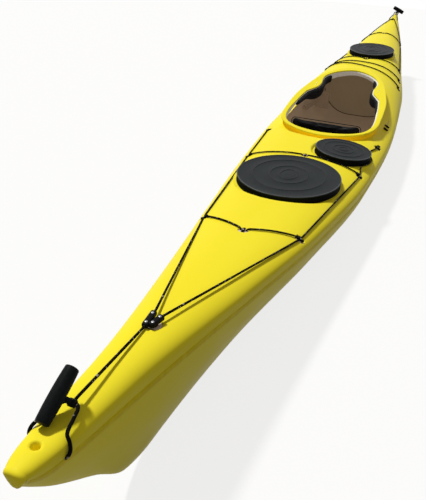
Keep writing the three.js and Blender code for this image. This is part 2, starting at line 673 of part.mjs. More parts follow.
// Bulkheads: slabs trimmed to the inside of the boat
const trimmedHull = hullHollow(laminate + fit);
const trimmedDeck = deckHollow(laminate + 2 * fit, fit);
const cableRoute = [[-1216, 92], [-1180, 100], [-1100, 112], [-990, 108], [-860, 104], [-720, 104],
  [-600, 106], [-460, 112], [-318, 120], [-200, 132], [-110, 146], [-50, 162], [-16, 182], [1, 198]];
const cableAcrossShares = [0, 0.046, 0.237, 0.45, 0.657, 0.786, 0.863, 0.916, 0.947, 0.97, 0.981, 0.989,
  0.993, 0.996];
function cableSolid(grow) {
  const start = skeg.front + skeg.boxGap + skeg.boxWall + fit;
  const lead = new THREE.Vector3(start, 0, skeg.pivotHeight + skeg.depthAbove);
  const route = cableRoute.map(([x, z], i) => new THREE.Vector3(x, sliderY * cableAcrossShares[i], z));
  const points = [lead, ...route];
  return solidOf(tube(points, cableRadius + grow, roundSides));
}
function bulkheadGeometry(x) {
  const half = beam / 2;
  const low = [x - bulkheadThickness / 2, -half, 0];
  const slab = solidOf(boxBetween(low, [x + bulkheadThickness / 2, half, bowHeight]));
  return geometryOf(slab.intersect(trimmedHull.add(trimmedDeck)).subtract(cableSolid(fit)));
}
Object.entries(bulkheadPlaces).forEach(([name, x]) => {
  addPiece(name, bulkheadGeometry(x), greyLaminate);
});

// Seat: a pan on the hull's floor with a back wall and two cheeks, open above and in front
function seatGeometry() {
  const floor = laminate + fit;
  const corner = seat.halfWidth * seat.floorShare;
  const row = (share, inset, topGrow) => {
    const x = seat.rear + (seat.front - seat.rear) * share;
    const rise = seat.cheekBack + (seat.pan + seat.wall - seat.cheekBack) * share ** seat.risePower;
    const low = inset > 0 ? floor + seat.pan - seat.dish * Math.sin(Math.PI * share) : floor;
    return [x, low, rise + topGrow];
  };
  const ring = ([x, low, high], inset) => [[-corner, low], [inset - seat.halfWidth, low + seat.pan],
    [inset - seat.halfWidth, high], [seat.halfWidth - inset, high], [seat.halfWidth - inset, low + seat.pan],
    [corner, low]].map(([y, z]) => new THREE.Vector3(x, y, z));
  const shares = Array.from({ length: seat.rows + 1 }, (unused, i) => i / seat.rows);
  const body = solidOf(loftGeometry(shares.map((share) => ring(row(share, 0, 0), 0))));
  const hollowRows = shares.map((share) => row(share, seat.wall, overrun));
  hollowRows[0][0] += seat.wall;
  hollowRows[seat.rows][0] += overrun;
  const hollow = solidOf(loftGeometry(hollowRows.map((place) => ring(place, seat.wall))));
  return geometryOf(body.subtract(hollow).intersect(trimmedHull.add(trimmedDeck)));
}
addPiece("seat", seatGeometry(), greyLaminate);

// A padded body: an outline grown from its middle slice to its flat faces, so that it is crowned
function cushion(width, height, thickness, round) {
  const slices = cushionSpreadShares.map((spread, i) => {
    const inset = round * (1 - spread);
    return roundedOutline(width - inset * 2, height - inset * 2, round)
      .map((point) => new THREE.Vector3(point.x, point.y, thickness * (cushionDepthShares[i] - 1 / 2)));
  });
  return loftGeometry(slices);
}
function roundedOutline(width, height, round) {
  const corners = [[1, 1], [-1, 1], [-1, -1], [1, -1]];
  return corners.flatMap(([sx, sy], quarter) => cornerAngleShares.map((share) => {
    const angle = ((quarter + share) * Math.PI) / 2;
    return new THREE.Vector2(sx * (width / 2 - round) + round * Math.cos(angle),
      sy * (height / 2 - round) + round * Math.sin(angle));
  }));
}

// Backband: crowned pad curved round the sitter, on two knuckles over the seat's back wall
const bandAxisZ = seat.cheekBack + fit + backband.knuckleRadius;
const bandAxisX = seat.rear + seat.wall / 2;
function backbandGeometry() {
  const pad = cushion(2 * backband.halfWidth, backband.height, backband.thickness, backband.round)
    .rotateX(Math.PI / 2).rotateZ(Math.PI / 2)
    .translate(bandAxisX + backband.forward, 0, bandAxisZ + backband.height / 2 - backband.overlap);
  const places = pad.attributes.position;
  for (let i = 0; i < places.count; i += 1) {
    const share = places.getY(i) / backband.halfWidth;
    places.setX(i, places.getX(i) + backband.curve * share * share);
  }
  let band = solidOf(facingOut([...places.array], [...pad.index.array]));
  [1, -1].forEach((side) => {
    const middle = side * backband.knuckleAt;
    const knuckle = drum(backband.knuckleRadius, -backband.knuckleHalf, backband.knuckleHalf, pocketSegments)
      .rotateX(Math.PI / 2).translate(bandAxisX, middle, bandAxisZ);
    const reach = backband.forward + backband.curve * (backband.knuckleAt / backband.halfWidth) ** 2;
    const tongue = boxBetween(
      [bandAxisX, middle - backband.knuckleHalf, bandAxisZ - backband.knuckleRadius / 2],
      [bandAxisX + reach, middle + backband.knuckleHalf, bandAxisZ + backband.knuckleRadius / 2]);
    band = band.add(solidOf(knuckle)).add(solidOf(tongue));
  });
  return geometryOf(band);
}
addPiece("backband", backbandGeometry(), foam);

// Hip pads on the insides of the seat's cheeks
[["hip_pad_port", 1], ["hip_pad_starboard", -1]].forEach(([name, side]) => {
  const pad = cushion(hipPad.length, hipPad.height, hipPad.thickness, hipPad.round).rotateX(Math.PI / 2);
  const y = side * (seat.halfWidth - seat.wall - fit - hipPad.thickness / 2);
  const place = new THREE.Matrix4().makeTranslation(hipPad.x, y, hipPad.bottom + hipPad.height / 2);
  addPiece(name, facingOut([...pad.attributes.position.array], [...pad.index.array]), foam, place);
});

// Thigh pads under the lip, between the riser and the opening
[["thigh_pad_port", 1], ["thigh_pad_starboard", -1]].forEach(([name, side]) => {
  const top = -cockpit.lipThickness - fit;
  const block = solidOf(prism(grown(riserInner, -fit), top - thighPad.thickness, top))
    .subtract(solidOf(prism(grown(openingOutline, thighPad.inset), -bowHeight, overrun)));
  const near = side * thighPad.inset;
  const far = side * beam;
  const keep = boxBetween([thighPad.from, Math.min(near, far), -bowHeight],
    [thighPad.to, Math.max(near, far), overrun]);
  addPiece(name, geometryOf(block.intersect(solidOf(keep))), foam, cockpitFrame);
});

// Width of the hull's inside at a height
function insideHalf(x, z) {
  const section = sectionAt(x);
  const cosine = ((section.sheer - z) / (section.sheer - section.keel)) ** (section.power / 2);
  const sine = Math.sqrt(1 - cosine * cosine);
  return section.flat + (section.half - section.flat) * sine ** (2 / section.power) - laminate;
}

// Foot rails on two stands each, and pedals whose clips slide along them
function railFrame(side) {
  const rearX = footrest.rear;
  const frontX = footrest.rear + footrest.length;
  const wallAt = (x) => side * (insideHalf(x, footrest.z) - footrest.standoff);
  const rear = new THREE.Vector3(rearX, wallAt(rearX), footrest.z);
  const front = new THREE.Vector3(frontX, wallAt(frontX), footrest.z);
  const middle = rear.clone().add(front).divideScalar(2);
  return frameAlong(middle, front.sub(rear), new THREE.Vector3(0, 0, 1));
}
function sideBox(side, low, high) {
  const near = side * low[1];
  const far = side * high[1];
  return boxBetween([low[0], Math.min(near, far), low[2]], [high[0], Math.max(near, far), high[2]]);
}
function railGeometry(side) {
  const half = footrest.length / 2;
  const tall = footrest.railHeight / 2;
  const rail = solidOf(sideBox(side, [-half, -footrest.railDepth, -tall], [half, 0, tall]), railFrame(side));
  const stands = [-1, 1].map((end) => {
    const middle = end * (half - footrest.standLength / 2);
    const reach = footrest.standLength / 2;
    return solidOf(sideBox(side, [middle - reach, -footrest.railDepth / 2, -tall / 2],
      [middle + reach, overrun, tall / 2]), railFrame(side));
  });
  return geometryOf(joined([rail, ...stands]).intersect(trimmedHull));
}
function pedalGeometry(side) {
  const { clipWall, clipLip, play } = footrest;
  const tall = footrest.railHeight / 2;
  const half = footrest.clipLength / 2;
  const inner = -footrest.railDepth - play - clipWall;
  const clip = solidOf(sideBox(side, [-half, inner, -tall - play - clipWall],
    [half, play + clipWall, tall + play + clipWall]));
  const channel = sideBox(side, [-overrun, -footrest.railDepth - play, -tall - play],
    [overrun, play, tall + play]);
  const mouth = sideBox(side, [-overrun, 0, -tall - play + clipLip],
    [overrun, overrun, tall + play - clipLip]);
  const low = footrest.pedalRise - footrest.pedalHeight / 2;
  const plate = sideBox(side, [-half, inner - footrest.pedalWidth, low],
    [-half + footrest.pedalThickness, inner + clipWall / 2, low + footrest.pedalHeight]);
  return geometryOf(clip.subtract(solidOf(channel)).subtract(solidOf(mouth)).add(solidOf(plate)));
}
[["port", 1], ["starboard", -1]].forEach(([name, side]) => {
  addPiece(`foot_rail_${name}`, railGeometry(side), aluminium);
  addPiece(`foot_pedal_${name}`, pedalGeometry(side), blackPlastic, railFrame(side));
});

// Skeg: box over a slot in the keel, and the blade that swings down out of it
const skegPivot = new THREE.Vector3(skeg.front - skeg.pivotInset, 0, skeg.pivotHeight);
function skegPinSolid(grow, half) {
  return solidOf(drum(skeg.pinRadius + grow, -half, half, pinSegments).rotateX(Math.PI / 2)
    .translate(skegPivot.x, 0, skegPivot.z));
}
function skegBoxGeometry() {
  const inner = skeg.thickness / 2 + skeg.boxGap;
  const outer = inner + skeg.boxWall;
  const rear = skeg.rear - skeg.boxGap;
  const front = skeg.front + skeg.boxGap;
  const top = laminate + skeg.boxHeight;
  const body = solidOf(boxBetween([rear - skeg.boxWall, -outer, 0], [front + skeg.boxWall, outer, top]));
  const hollow = boxBetween([rear, -inner, -overrun], [front, inner, top - skeg.boxWall]);
  return geometryOf(body.intersect(trimmedHull).subtract(solidOf(hollow))
    .subtract(skegPinSolid(fit, outer + overrun)));
}
function skegBladeGeometry() {
  const { noseRadius, reach, depthBelow, depthAbove, heel } = skeg;
  const outline = noseAngleShares.map((share) => {
    const angle = share * Math.PI;
    return new THREE.Vector2(noseRadius * Math.cos(angle), noseRadius * Math.sin(angle));
  });
  outline.push(new THREE.Vector2(-noseRadius, -depthBelow), new THREE.Vector2(-reach + heel, -depthBelow),
    new THREE.Vector2(-reach, -depthBelow + heel), new THREE.Vector2(-reach, depthAbove / 2),
    new THREE.Vector2(-reach + heel, depthAbove), new THREE.Vector2(-noseRadius * 2, depthAbove));
  const half = skeg.thickness / 2;
  const blade = prism(outline, -half, half).rotateX(Math.PI / 2);
  const pin = drum(skeg.pinRadius, -half - skeg.boxGap - skeg.boxWall + skeg.socket,
    half + skeg.boxGap + skeg.boxWall - skeg.socket, pinSegments).rotateX(Math.PI / 2);
  return geometryOf(solidOf(blade).add(solidOf(pin)));
}
addPiece("skeg_box", skegBoxGeometry(), greyLaminate);
addPiece("skeg_blade", skegBladeGeometry(), blackPlastic, new THREE.Matrix4().setPosition(skegPivot));
addPiece("skeg_cable", geometryOf(cableSolid(0)), blackPlastic);

// Skeg control: a fixed bar and a knob that slides forward along the deck's slot
const sliderHalfLength = (sliderLengthShare * sideDeckWidth) / 2;
function sliderBar() {
  const { width, lift, height } = slider;
  return boxBetween([-width / 2, -sliderHalfLength, lift], [width / 2, sliderHalfLength, lift + height]);
}
function sliderKnob() {
  const { stemWidth, slotWidth, stemDepth, lift } = slider;
  const half = slotWidth / 2 - fit;
  return solidOf(sliderBar()).add(solidOf(boxBetween([-stemWidth / 2, -half, -stemDepth],
    [stemWidth / 2, half, lift + stemWidth])));
}
function sliderGuide() {
  const frame = deckFrame(slider.rearX, sliderY);
  return solidOf(boxBetween([-slider.width / 2, -sliderHalfLength, -overrun],
    [slider.width / 2, sliderHalfLength, slider.lift + slider.height]), frame)
    .subtract(moved(deckSolid, 0, 0, fit));
}
addPiece("skeg_slider_guide", geometryOf(sliderGuide()), blackPlastic);
addPiece("skeg_slider_knob", geometryOf(sliderKnob()), blackPlastic, sliderFrame());

// Toggles on their loops
function toggleGeometry(t) {
  const half = toggle.length / 2;
  const shoulder = half * toggle.shoulderShare;
  const profile = [[0, -half], [toggle.endRadius, -half], [toggle.radius, -shoulder], [toggle.waistRadius, 0],
    [toggle.radius, shoulder], [toggle.endRadius, half], [0, half]];
  const middle = new THREE.Vector3(fromEnd(t.end, t.inset), t.y, t.z);
  const knuckle = new THREE.Vector3(fromEnd(t.end, t.knuckleInset), t.knuckleY, t.knuckleZ);
  const axis = new THREE.Vector3(...t.axis).normalize();
  const barrelFrame = new THREE.Matrix4().compose(middle,
    new THREE.Quaternion().setFromUnitVectors(new THREE.Vector3(0, 0, 1), axis), new THREE.Vector3(1, 1, 1));
  const barrel = solidOf(turned(profile, toggle.segments), barrelFrame);
  const stemFrame = new THREE.Matrix4().compose(knuckle, new THREE.Quaternion().setFromUnitVectors(
    new THREE.Vector3(0, 0, 1), middle.clone().sub(knuckle).normalize()), new THREE.Vector3(1, 1, 1));
  const stem = solidOf(drum(toggle.stemRadius, 0, middle.distanceTo(knuckle), pocketSegments), stemFrame);
  const block = solidOf(drum(toggle.knuckleRadius, -toggle.knuckleWidth / 2, toggle.knuckleWidth / 2,
    pinSegments).rotateX(Math.PI / 2).translate(knuckle.x, knuckle.y, knuckle.z));
  const bore = solidOf(drum(cordRadius + 2 * fit, -overrun, overrun, roundSides).rotateX(Math.PI / 2)
    .translate(knuckle.x, knuckle.y, knuckle.z));
  return joined([barrel, stem, block]).subtract(bore);
}
addPiece("stern_toggle", geometryOf(toggleGeometry(sternToggle)), blackPlastic);
addPiece("stern_toggle_loop", geometryOf(loopSolid(sternToggle, sternLoop, 0)), cordBlack);
addPiece("bow_toggle", geometryOf(toggleGeometry(bowToggle)), blackPlastic);
addPiece("bow_toggle_loop", geometryOf(loopSolid(bowToggle, bowLoop, 0)), cordBlack);

// Deck fittings in their pockets
function barGeometry() {
  const { barTop, barBottom, legReach, legThickness, barWidth, pocketDepth } = fitting;
  const half = fitting.barLength / 2;
  const floor = -pocketDepth + fit;
  const side = [[half, barTop], [half, -barBottom], [legReach, -barBottom], [legReach, floor],
    [legReach - legThickness, floor], [legReach - legThickness, -barBottom]];
  const other = side.map(([y, z]) => [-y, z]).reverse();
  const outline = [...side, ...other].map(([y, z]) => new THREE.Vector2(y, z));
  return prism(outline, -barWidth / 2, barWidth / 2).rotateX(Math.PI / 2);
}
function postGeometry() {
  const { postRadius, postTop, postCap, capThickness, footThickness, pocketDepth, legReach } = fitting;
  const floor = -pocketDepth + fit;
  return turned([[0, floor], [legReach, floor], [legReach, floor + footThickness],
    [postRadius, floor + footThickness], [postRadius, postTop - capThickness],
    [postCap, postTop - capThickness], [postCap, postTop], [0, postTop]], pocketSegments);
}
const quarterTurn = new THREE.Matrix4().makeRotationZ(Math.PI / 2);
Object.entries(fittingPlaces).forEach(([name, place]) => {
  const frame = place.across || place.post ? fittingFrame(place) : fittingFrame(place).multiply(quarterTurn);
  addPiece(name, place.post ? postGeometry() : barGeometry(), blackPlastic, frame);
});

// Fitting where the stern line splits in two: two blocks bridged over a foot
function veeBlock(side) {
  const v = veeFitting;
  const rear = side > 0 ? v.rear : v.shortRear;
  const front = side > 0 ? v.front : v.shortFront;
  return sideBox(side, [-rear, v.gap / 2, v.lift], [front, v.gap / 2 + v.width, v.lift + v.height]);
}
function veeBlockFrame(side) {
  return new THREE.Matrix4().makeRotationZ(side > 0 ? veeFitting.turn : veeFitting.shortTurn);
}
function veeGeometry() {
  const v = veeFitting;
  const foot = drum(v.foot, -v.pocketDepth + fit, -v.pocketDepth + v.footThickness, pocketSegments);
  const post = drum(v.foot - v.footThickness, -v.pocketDepth + fit, v.lift + v.footThickness, pocketSegments);
  const bridge = boxBetween([-v.bridgeReach, -v.width, v.lift], [v.bridgeReach, v.width, v.bridgeHeight]);
  return geometryOf(joined([solidOf(foot), solidOf(post), solidOf(bridge),
    solidOf(veeBlock(1), veeBlockFrame(1)), solidOf(veeBlock(-1), veeBlockFrame(-1))]));
}
addPiece("vee_fitting", veeGeometry(), blackPlastic, deckFrame(veeFitting.x, 0));

// Deck lines
function onDeck(x, y) {
  const lift = cordRadius + cordClearance;
  return new THREE.Vector3(x, y, deckHeight(x, y)).addScaledVector(deckNormal(x, y), lift);
}
function fittingPoint(name, towards, reachShare, heightShare, aside = 0) {
  const frame = fittingFrame(fittingPlaces[name]);
  const inverse = frame.clone().invert();
  const direction = towards.clone().applyMatrix4(inverse).setZ(0).normalize();
  const across = new THREE.Vector3(-direction.y, direction.x, 0);
  const radius = fitting.pocketRadius;
  return direction.multiplyScalar(reachShare * radius).addScaledVector(across, aside)
    .setZ(heightShare * radius).applyMatrix4(frame);
}
function middleOf(name) {
  return new THREE.Vector3().setFromMatrixPosition(fittingFrame(fittingPlaces[name]));
}
function dipTowards(name, towards) {
  return dipReachShares.map((reach, i) => fittingPoint(name, towards, reach, dipHeightShares[i]));
}

// One fitting on a line: passed under its bar, tied to the bar, or wrapped round its post
function passUnder(name, before, after) {
  const lowest = new THREE.Vector3(0, 0, dipLowestShare * fitting.pocketRadius)
    .applyMatrix4(fittingFrame(fittingPlaces[name]));
  return [...dipTowards(name, before), lowest, ...dipTowards(name, after).reverse()];
}
function tieTo(name, other) {
  const place = fittingPlaces[name];
  const toOther = other.clone().sub(middleOf(name));
  const alongBar = Math.abs(toOther.y) > Math.abs(toOther.x);
  const end = (alongBar ? fitting.barLength : fitting.barWidth) / 2 - cordRadius / 2;
  const points = tieReachShares.map((reach, i) => fittingPoint(name, other, reach, tieHeightShares[i]));
  return [...points, fittingPoint(name, other, end / fitting.pocketRadius, tieEndShare)];
}
function wrapRound(name, before, after) {
  const frame = fittingFrame(fittingPlaces[name]);
  const inverse = frame.clone().invert();
  const into = (point) => point.clone().applyMatrix4(inverse).setZ(0).normalize();
  const away = into(before).add(into(after)).normalize().negate();
  const turn = Math.sign(into(before).cross(away).z);
  const radius = fitting.postRadius + cordRadius + fitting.postPlay;
  const up = new THREE.Vector3(0, 0, 1);
  const round = wrapAngles.map((angle) => away.clone().applyAxisAngle(up, turn * angle)
    .multiplyScalar(radius).setZ(dipHeightShares[0] * fitting.pocketRadius).applyMatrix4(frame));
  return [fittingPoint(name, before, dipReachShares[0], dipHeightShares[0], turn * radius), ...round,
    fittingPoint(name, after, dipReachShares[0], dipHeightShares[0], -turn * radius)];
}
function besideHatches(x, y) {
  return Object.values(hatches).reduce((clear, h) => {
    const along = (x - h.x) / (h.radiusLong + hatch.seatClearance);
    const reach = (h.radiusWide + hatch.seatClearance) * Math.sqrt(Math.max(1 - along * along, 0));
    return Math.abs(clear - h.y) < reach ? h.y + Math.sign(clear - h.y) * reach : clear;
  }, y);
}
function run(from, to) {
  const across = Math.abs(to.y - from.y) / crossSpacing;
  const count = Math.ceil(Math.max(from.distanceTo(to) / cordSpacing, across));
  const points = [];
  for (let i = 1; i < count; i += 1) {
    const straight = from.clone().lerp(to, i / count);
    const lying = onDeck(straight.x, besideHatches(straight.x, straight.y));
    points.push(straight.z > lying.z ? straight : lying);
  }
  return points;
}
function joinRuns(parts) {
  return parts.reduce((line, part) => [...line, ...run(line[line.length - 1], part[0]), ...part]);
}
function barSolid(name, grow) {
  const place = fittingPlaces[name];
  const half = fitting.barLength / 2 + grow;
  const bar = boxBetween([-half, -fitting.barWidth / 2 - grow, -fitting.barBottom - grow],
    [half, fitting.barWidth / 2 + grow, fitting.barTop + grow]);
  return solidOf(bar, place.across ? fittingFrame(place) : fittingFrame(place).multiply(quarterTurn));
}
function addLine(name, points, tied) {
  let line = solidOf(tube(points, cordRadius, cordSides));
  tied.forEach((end) => {
    line = line.subtract(barSolid(end, fit));
  });
  addPiece(name, geometryOf(line), cordBlack);
}

// Lines from the split on the aft deck, along each side to the cockpit
function veePoint(side, ahead) {
  const v = veeFitting;
  const reach = side > 0 ? v.front : v.shortFront;
  return new THREE.Vector3(reach + ahead, side * (v.gap + v.width) / 2, v.lift + v.height / 2)
    .applyMatrix4(veeBlockFrame(side)).applyMatrix4(deckFrame(v.x, 0));
}
function roundDayHatch() {
  const h = hatches.day;
  const radius = h.radiusLong + hatch.seatClearance;
  return hatchPassShares.map(([along, out]) => onDeck(h.x + along * radius, h.y - out * radius));
}
[["port", 1], ["starboard", -1]].forEach(([word, side]) => {
  const stern = `stern_fitting_${word}`;
  const aft = `aft_fitting_${word}`;
  const last = `side_fitting_${word}`;
  const past = side < 0 ? roundDayHatch() : [];
  const beyondAft = past.length > 0 ? past[0] : middleOf(last);
  const beforeLast = past.length > 0 ? past[past.length - 1] : middleOf(aft);
  const points = joinRuns([[veePoint(side, fit), veePoint(side, cordRadius)],
    passUnder(stern, veePoint(side, 0), middleOf(aft)),
    [...passUnder(aft, middleOf(stern), beyondAft), ...past], tieTo(last, beforeLast)]);
  addLine(`${word}_line_aft`, points, [last]);
});

// Lines across the deck, tied at both sides
[["stern", "cross_line_stern"], ["aft", "cross_line_aft"], ["foredeck", "cross_line_fore"],
  ["bow", "cross_line_bow"]].forEach(([word, name]) => {
  const [port, centre, starboard] = ["port", "centre", "starboard"]
    .map((place) => `${word}_fitting_${place}`);
  const points = joinRuns([tieTo(port, middleOf(centre)).reverse(),
    passUnder(centre, middleOf(port), middleOf(starboard)), tieTo(starboard, middleOf(centre))]);
  addLine(name, points, [port, starboard]);
});

// Bow line round the junction's post, and the elastic round its own
const bowStops = ["foredeck_fitting_port", "bow_fitting_port", "bow_junction", "bow_fitting_starboard",
  "foredeck_fitting_starboard"].map((name) => [name, middleOf(name)]);
addLine("bow_line", joinRuns([tieTo(bowStops[0][0], bowStops[1][1]).reverse(),
  passUnder(bowStops[1][0], bowStops[0][1], bowStops[2][1]),
  wrapRound(bowStops[2][0], bowStops[1][1], bowStops[3][1]),
  passUnder(bowStops[3][0], bowStops[2][1], bowStops[4][1]),
  tieTo(bowStops[4][0], bowStops[3][1])]), [bowStops[0][0], bowStops[4][0]]);
const elasticStops = ["elastic_fitting_starboard", "elastic_fitting_port", "elastic_fitting_rear"];
addLine("deck_elastic", joinRuns([tieTo(elasticStops[0], middleOf(elasticStops[1])).reverse(),
  wrapRound(elasticStops[1], middleOf(elasticStops[0]), middleOf(elasticStops[2])),
  tieTo(elasticStops[2], middleOf(elasticStops[1]))]), [elasticStops[0], elasticStops[2]]);

// Stern line, taut from the toggle's knuckle to the split
function sternLinePoints() {
  const t = sternToggle;
  const start = fromEnd(t.end, t.knuckleInset) + toggle.knuckleRadius + 2 * fit;
  const v = veeFitting;
  const blockPoint = (behind) => new THREE.Vector3(-v.rear - behind, (v.gap + v.width) / 2,
    v.lift + v.height / 2)
    .applyMatrix4(veeBlockFrame(1)).applyMatrix4(deckFrame(v.x, 0));
  const near = new THREE.Vector3(start, t.knuckleY, t.knuckleZ);
  const lead = near.clone().setX(start + cordRadius);
  return [near, lead, ...run(lead, blockPoint(cordRadius)), blockPoint(cordRadius), blockPoint(fit)];
}
addLine("stern_line", sternLinePoints(), []);

export default kayak;
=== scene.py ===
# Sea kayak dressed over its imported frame. Metres: X runs to the bow, Y to port, Z up from the keel.
import math
from types import SimpleNamespace as Sizes

import bmesh
import bpy
import numpy as np
from mathutils import Matrix, Vector
from mathutils.geometry import delaunay_2d_cdt


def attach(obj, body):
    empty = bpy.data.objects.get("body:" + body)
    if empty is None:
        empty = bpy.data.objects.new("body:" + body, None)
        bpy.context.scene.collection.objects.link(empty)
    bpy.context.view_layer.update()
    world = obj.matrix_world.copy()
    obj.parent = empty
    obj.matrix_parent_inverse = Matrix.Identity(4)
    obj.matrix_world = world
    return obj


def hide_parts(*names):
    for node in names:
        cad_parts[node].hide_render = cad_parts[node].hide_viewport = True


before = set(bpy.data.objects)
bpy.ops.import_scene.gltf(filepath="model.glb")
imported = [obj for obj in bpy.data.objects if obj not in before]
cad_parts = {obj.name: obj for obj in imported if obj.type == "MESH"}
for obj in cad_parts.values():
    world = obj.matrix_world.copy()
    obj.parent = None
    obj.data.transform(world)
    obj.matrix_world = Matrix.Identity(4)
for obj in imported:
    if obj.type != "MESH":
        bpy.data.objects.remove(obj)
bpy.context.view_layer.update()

# Driving dimensions of the boat, the same as in the solids
hull = Sizes(length=4.88, beam=0.608, bow_height=0.483, laminate=0.004, keel_half=0.042,
             seam_drop=0.034)
crown_power = 2.6
crown_edge_share = 0.62
station_shares = [0, 0.002, 0.006, 0.016, 0.04, 0.063, 0.083, 0.16, 0.26, 0.38, 0.5, 0.62, 0.74, 0.84,
                  0.92, 0.97, 0.99, 1]
breadth_shares = [0.045, 0.07, 0.09, 0.115, 0.15, 0.185, 0.225, 0.418, 0.674, 0.908, 1, 0.931, 0.707,
                  0.51, 0.306, 0.148, 0.06, 0.018]
sheer_shares = [0.783, 0.785, 0.783, 0.77, 0.728, 0.69, 0.66, 0.555, 0.443, 0.375, 0.387, 0.437, 0.503,
                0.59, 0.7, 0.799, 0.855, 0.888]
ridge_shares = [0.8, 0.812, 0.812, 0.801, 0.773, 0.75, 0.727, 0.638, 0.549, 0.516, 0.565, 0.733, 0.793,
                0.853, 0.901, 0.936, 0.973, 1]
keel_shares = [0.75, 0.725, 0.673, 0.555, 0.321, 0.089, 0.031, 0.01, 0, 0, 0, 0, 0, 0.019, 0.116, 0.389,
               0.6, 0.745]
flat_shares = [0.08, 0.08, 0.08, 0.08, 0.09, 0.1, 0.12, 0.35, 0.8, 1, 1, 1, 0.8, 0.4, 0.13, 0.1, 0.06,
               0.03]
bilge_powers = [1.25, 1.26, 1.27, 1.3, 1.36, 1.42, 1.47, 1.6, 2.05, 2.55, 2.6, 2.6, 1.95, 1.5, 1.35,
                1.25, 1.2, 1.2]

# Cockpit: the plane of the lip's top rises forward
cockpit = Sizes(rear=-0.305, length=0.93, half_width=0.238, rear_top=0.256, front_top=0.379,
                opening_rear=-0.273, opening_length=0.849, lip_edge=0.025, lip=0.007, riser_inset=0.014,
                riser_wall=0.005, recess=0.031, recess_inset=0.006, recess_floor=0.014,
                recess_slope=0.022, soften=0.006)
lip_span_shares = [0, 0.012, 0.04, 0.08, 0.13, 0.2, 0.28, 0.38, 0.5, 0.62, 0.73, 0.82, 0.9, 0.955, 0.99,
                   1]
lip_width_shares = [0, 0.3, 0.56, 0.78, 0.92, 0.99, 1, 1, 0.975, 0.9, 0.81, 0.7, 0.54, 0.36, 0.16, 0]
opening_span_shares = [0, 0.01, 0.035, 0.08, 0.15, 0.25, 0.37, 0.48, 0.555, 0.6, 0.64, 0.7, 0.77, 0.83,
                       0.89, 0.94, 0.975, 0.995, 1]
opening_width_shares = [0, 0.32, 0.62, 0.85, 0.97, 1, 0.97, 0.93, 0.88, 0.78, 0.7, 0.665, 0.69, 0.69,
                        0.6, 0.45, 0.28, 0.11, 0]

# Hatches: lid radii, and the height and slope of the lid's top
hatches = {
    "aft": Sizes(x=-0.845, y=0, long=0.216, wide=0.199, top=0.263, slope=-0.012, lean=0),
    "day": Sizes(x=-0.458, y=-0.138, long=0.12, wide=0.12, top=0.262, slope=0, lean=0.07),
    "bow": Sizes(x=1.15, y=0, long=0.17, wide=0.14, top=0.396, slope=0.04, lean=0),
}
hatch = Sizes(seat=0.03, clearance=0.013, fit=0.0003, dish=0.0285, dish_slope=1.5, dish_soft=0.005,
              dish_reach=0.05)

# Recessed fittings and where they stand
fitting = Sizes(pocket=0.018, floor=0.0116, depth=0.013, edge_share=0.88, bar=0.027, width=0.008,
                top=0.003, bottom=0.005, leg_reach=0.01, leg=0.0025, post=0.005, post_top=0.009,
                post_cap=0.008, cap=0.002, foot=0.002)
stern_pair_share = -0.26619
stern_middle_share = -0.28279
bow_pair_share = 0.33607
bow_middle_share = 0.34836
bow_end_share = 0.45184
vee_place_share = -0.40676
row_x = Sizes(aft=-0.613, aft_middle=-0.578, side=-0.247, foredeck=1.015, foredeck_middle=0.93)


def fitting_row(row, pair_x, middle_x=None):
    places = {"port": (pair_x, 1, "edge"), "centre": (middle_x, 0, "across"),
              "starboard": (pair_x, -1, "edge")}
    return {f"{row}_fitting_{word}": Sizes(x=x, side=side, form=form)
            for word, (x, side, form) in places.items() if x is not None}


sides = {"port": 1, "starboard": -1}
fitting_places = {
    **fitting_row("stern", stern_pair_share * hull.length, stern_middle_share * hull.length),
    **fitting_row("aft", row_x.aft, row_x.aft_middle),
    **fitting_row("side", row_x.side),
    "elastic_fitting_port": Sizes(x=0.865, side=1, form="post"),
    "elastic_fitting_starboard": Sizes(x=0.791, side=-1, form="edge"),
    "elastic_fitting_rear": Sizes(x=0.643, side=-1, form="edge"),
    **fitting_row("foredeck", row_x.foredeck, row_x.foredeck_middle),
    **fitting_row("bow", bow_pair_share * hull.length, bow_middle_share * hull.length),
    "bow_junction": Sizes(x=bow_end_share * hull.length, side=0, form="post"),
}
vee = Sizes(x=vee_place_share * hull.length, pocket=0.024, floor=0.017, depth=0.008, foot=0.013,
            lift=0.0035, height=0.013, width=0.015, gap=0.002, rear=0.027, front=0.028, short_rear=0.02,
            short_front=0.023, turn=0.06, short_turn=-0.22)
socket_inset = 0.057
rudder_socket = Sizes(x=socket_inset - hull.length / 2, radius=0.0065)


# Smooth curve through a table that never overshoots its values
def smooth(values, at):
    stations = np.array(station_shares, float)
    heights = np.array(values, float)
    slopes = np.diff(heights) / np.diff(stations)
    product = slopes[:-1] * slopes[1:]
    total = slopes[:-1] + slopes[1:]
    inner = np.where(product > 0, 2 * product / np.where(total == 0, 1, total), 0)
    tangents = np.concatenate([slopes[:1], inner, slopes[-1:]])
    place = np.clip(np.asarray(at, float), 0, 1)
    i = np.clip(np.searchsorted(stations, place, side="left") - 1, 0, len(stations) - 2)
    span = stations[i + 1] - stations[i]
    t = (place - stations[i]) / span
    rise = t * t * (3 - 2 * t)
    start = t * (1 - t) ** 2 * span * tangents[i]
    end = t * t * (t - 1) * span * tangents[i + 1]
    return heights[i] + (heights[i + 1] - heights[i]) * rise + start + end


def section_at(x):
    share = np.asarray(x, float) / hull.length + 0.5
    half = hull.beam / 2 * smooth(breadth_shares, share)
    sheer = hull.bow_height * smooth(sheer_shares, share)
    keel = hull.bow_height * smooth(keel_shares, share)
    flat = np.minimum(hull.keel_half * smooth(flat_shares, share), half / 3)
    drop = np.minimum(hull.seam_drop, (sheer - keel) / 2)
    return Sizes(half=half, sheer=sheer, keel=keel, ridge=hull.bow_height * smooth(ridge_shares, share),
                 flat=flat, drop=drop, power=smooth(bilge_powers, share))


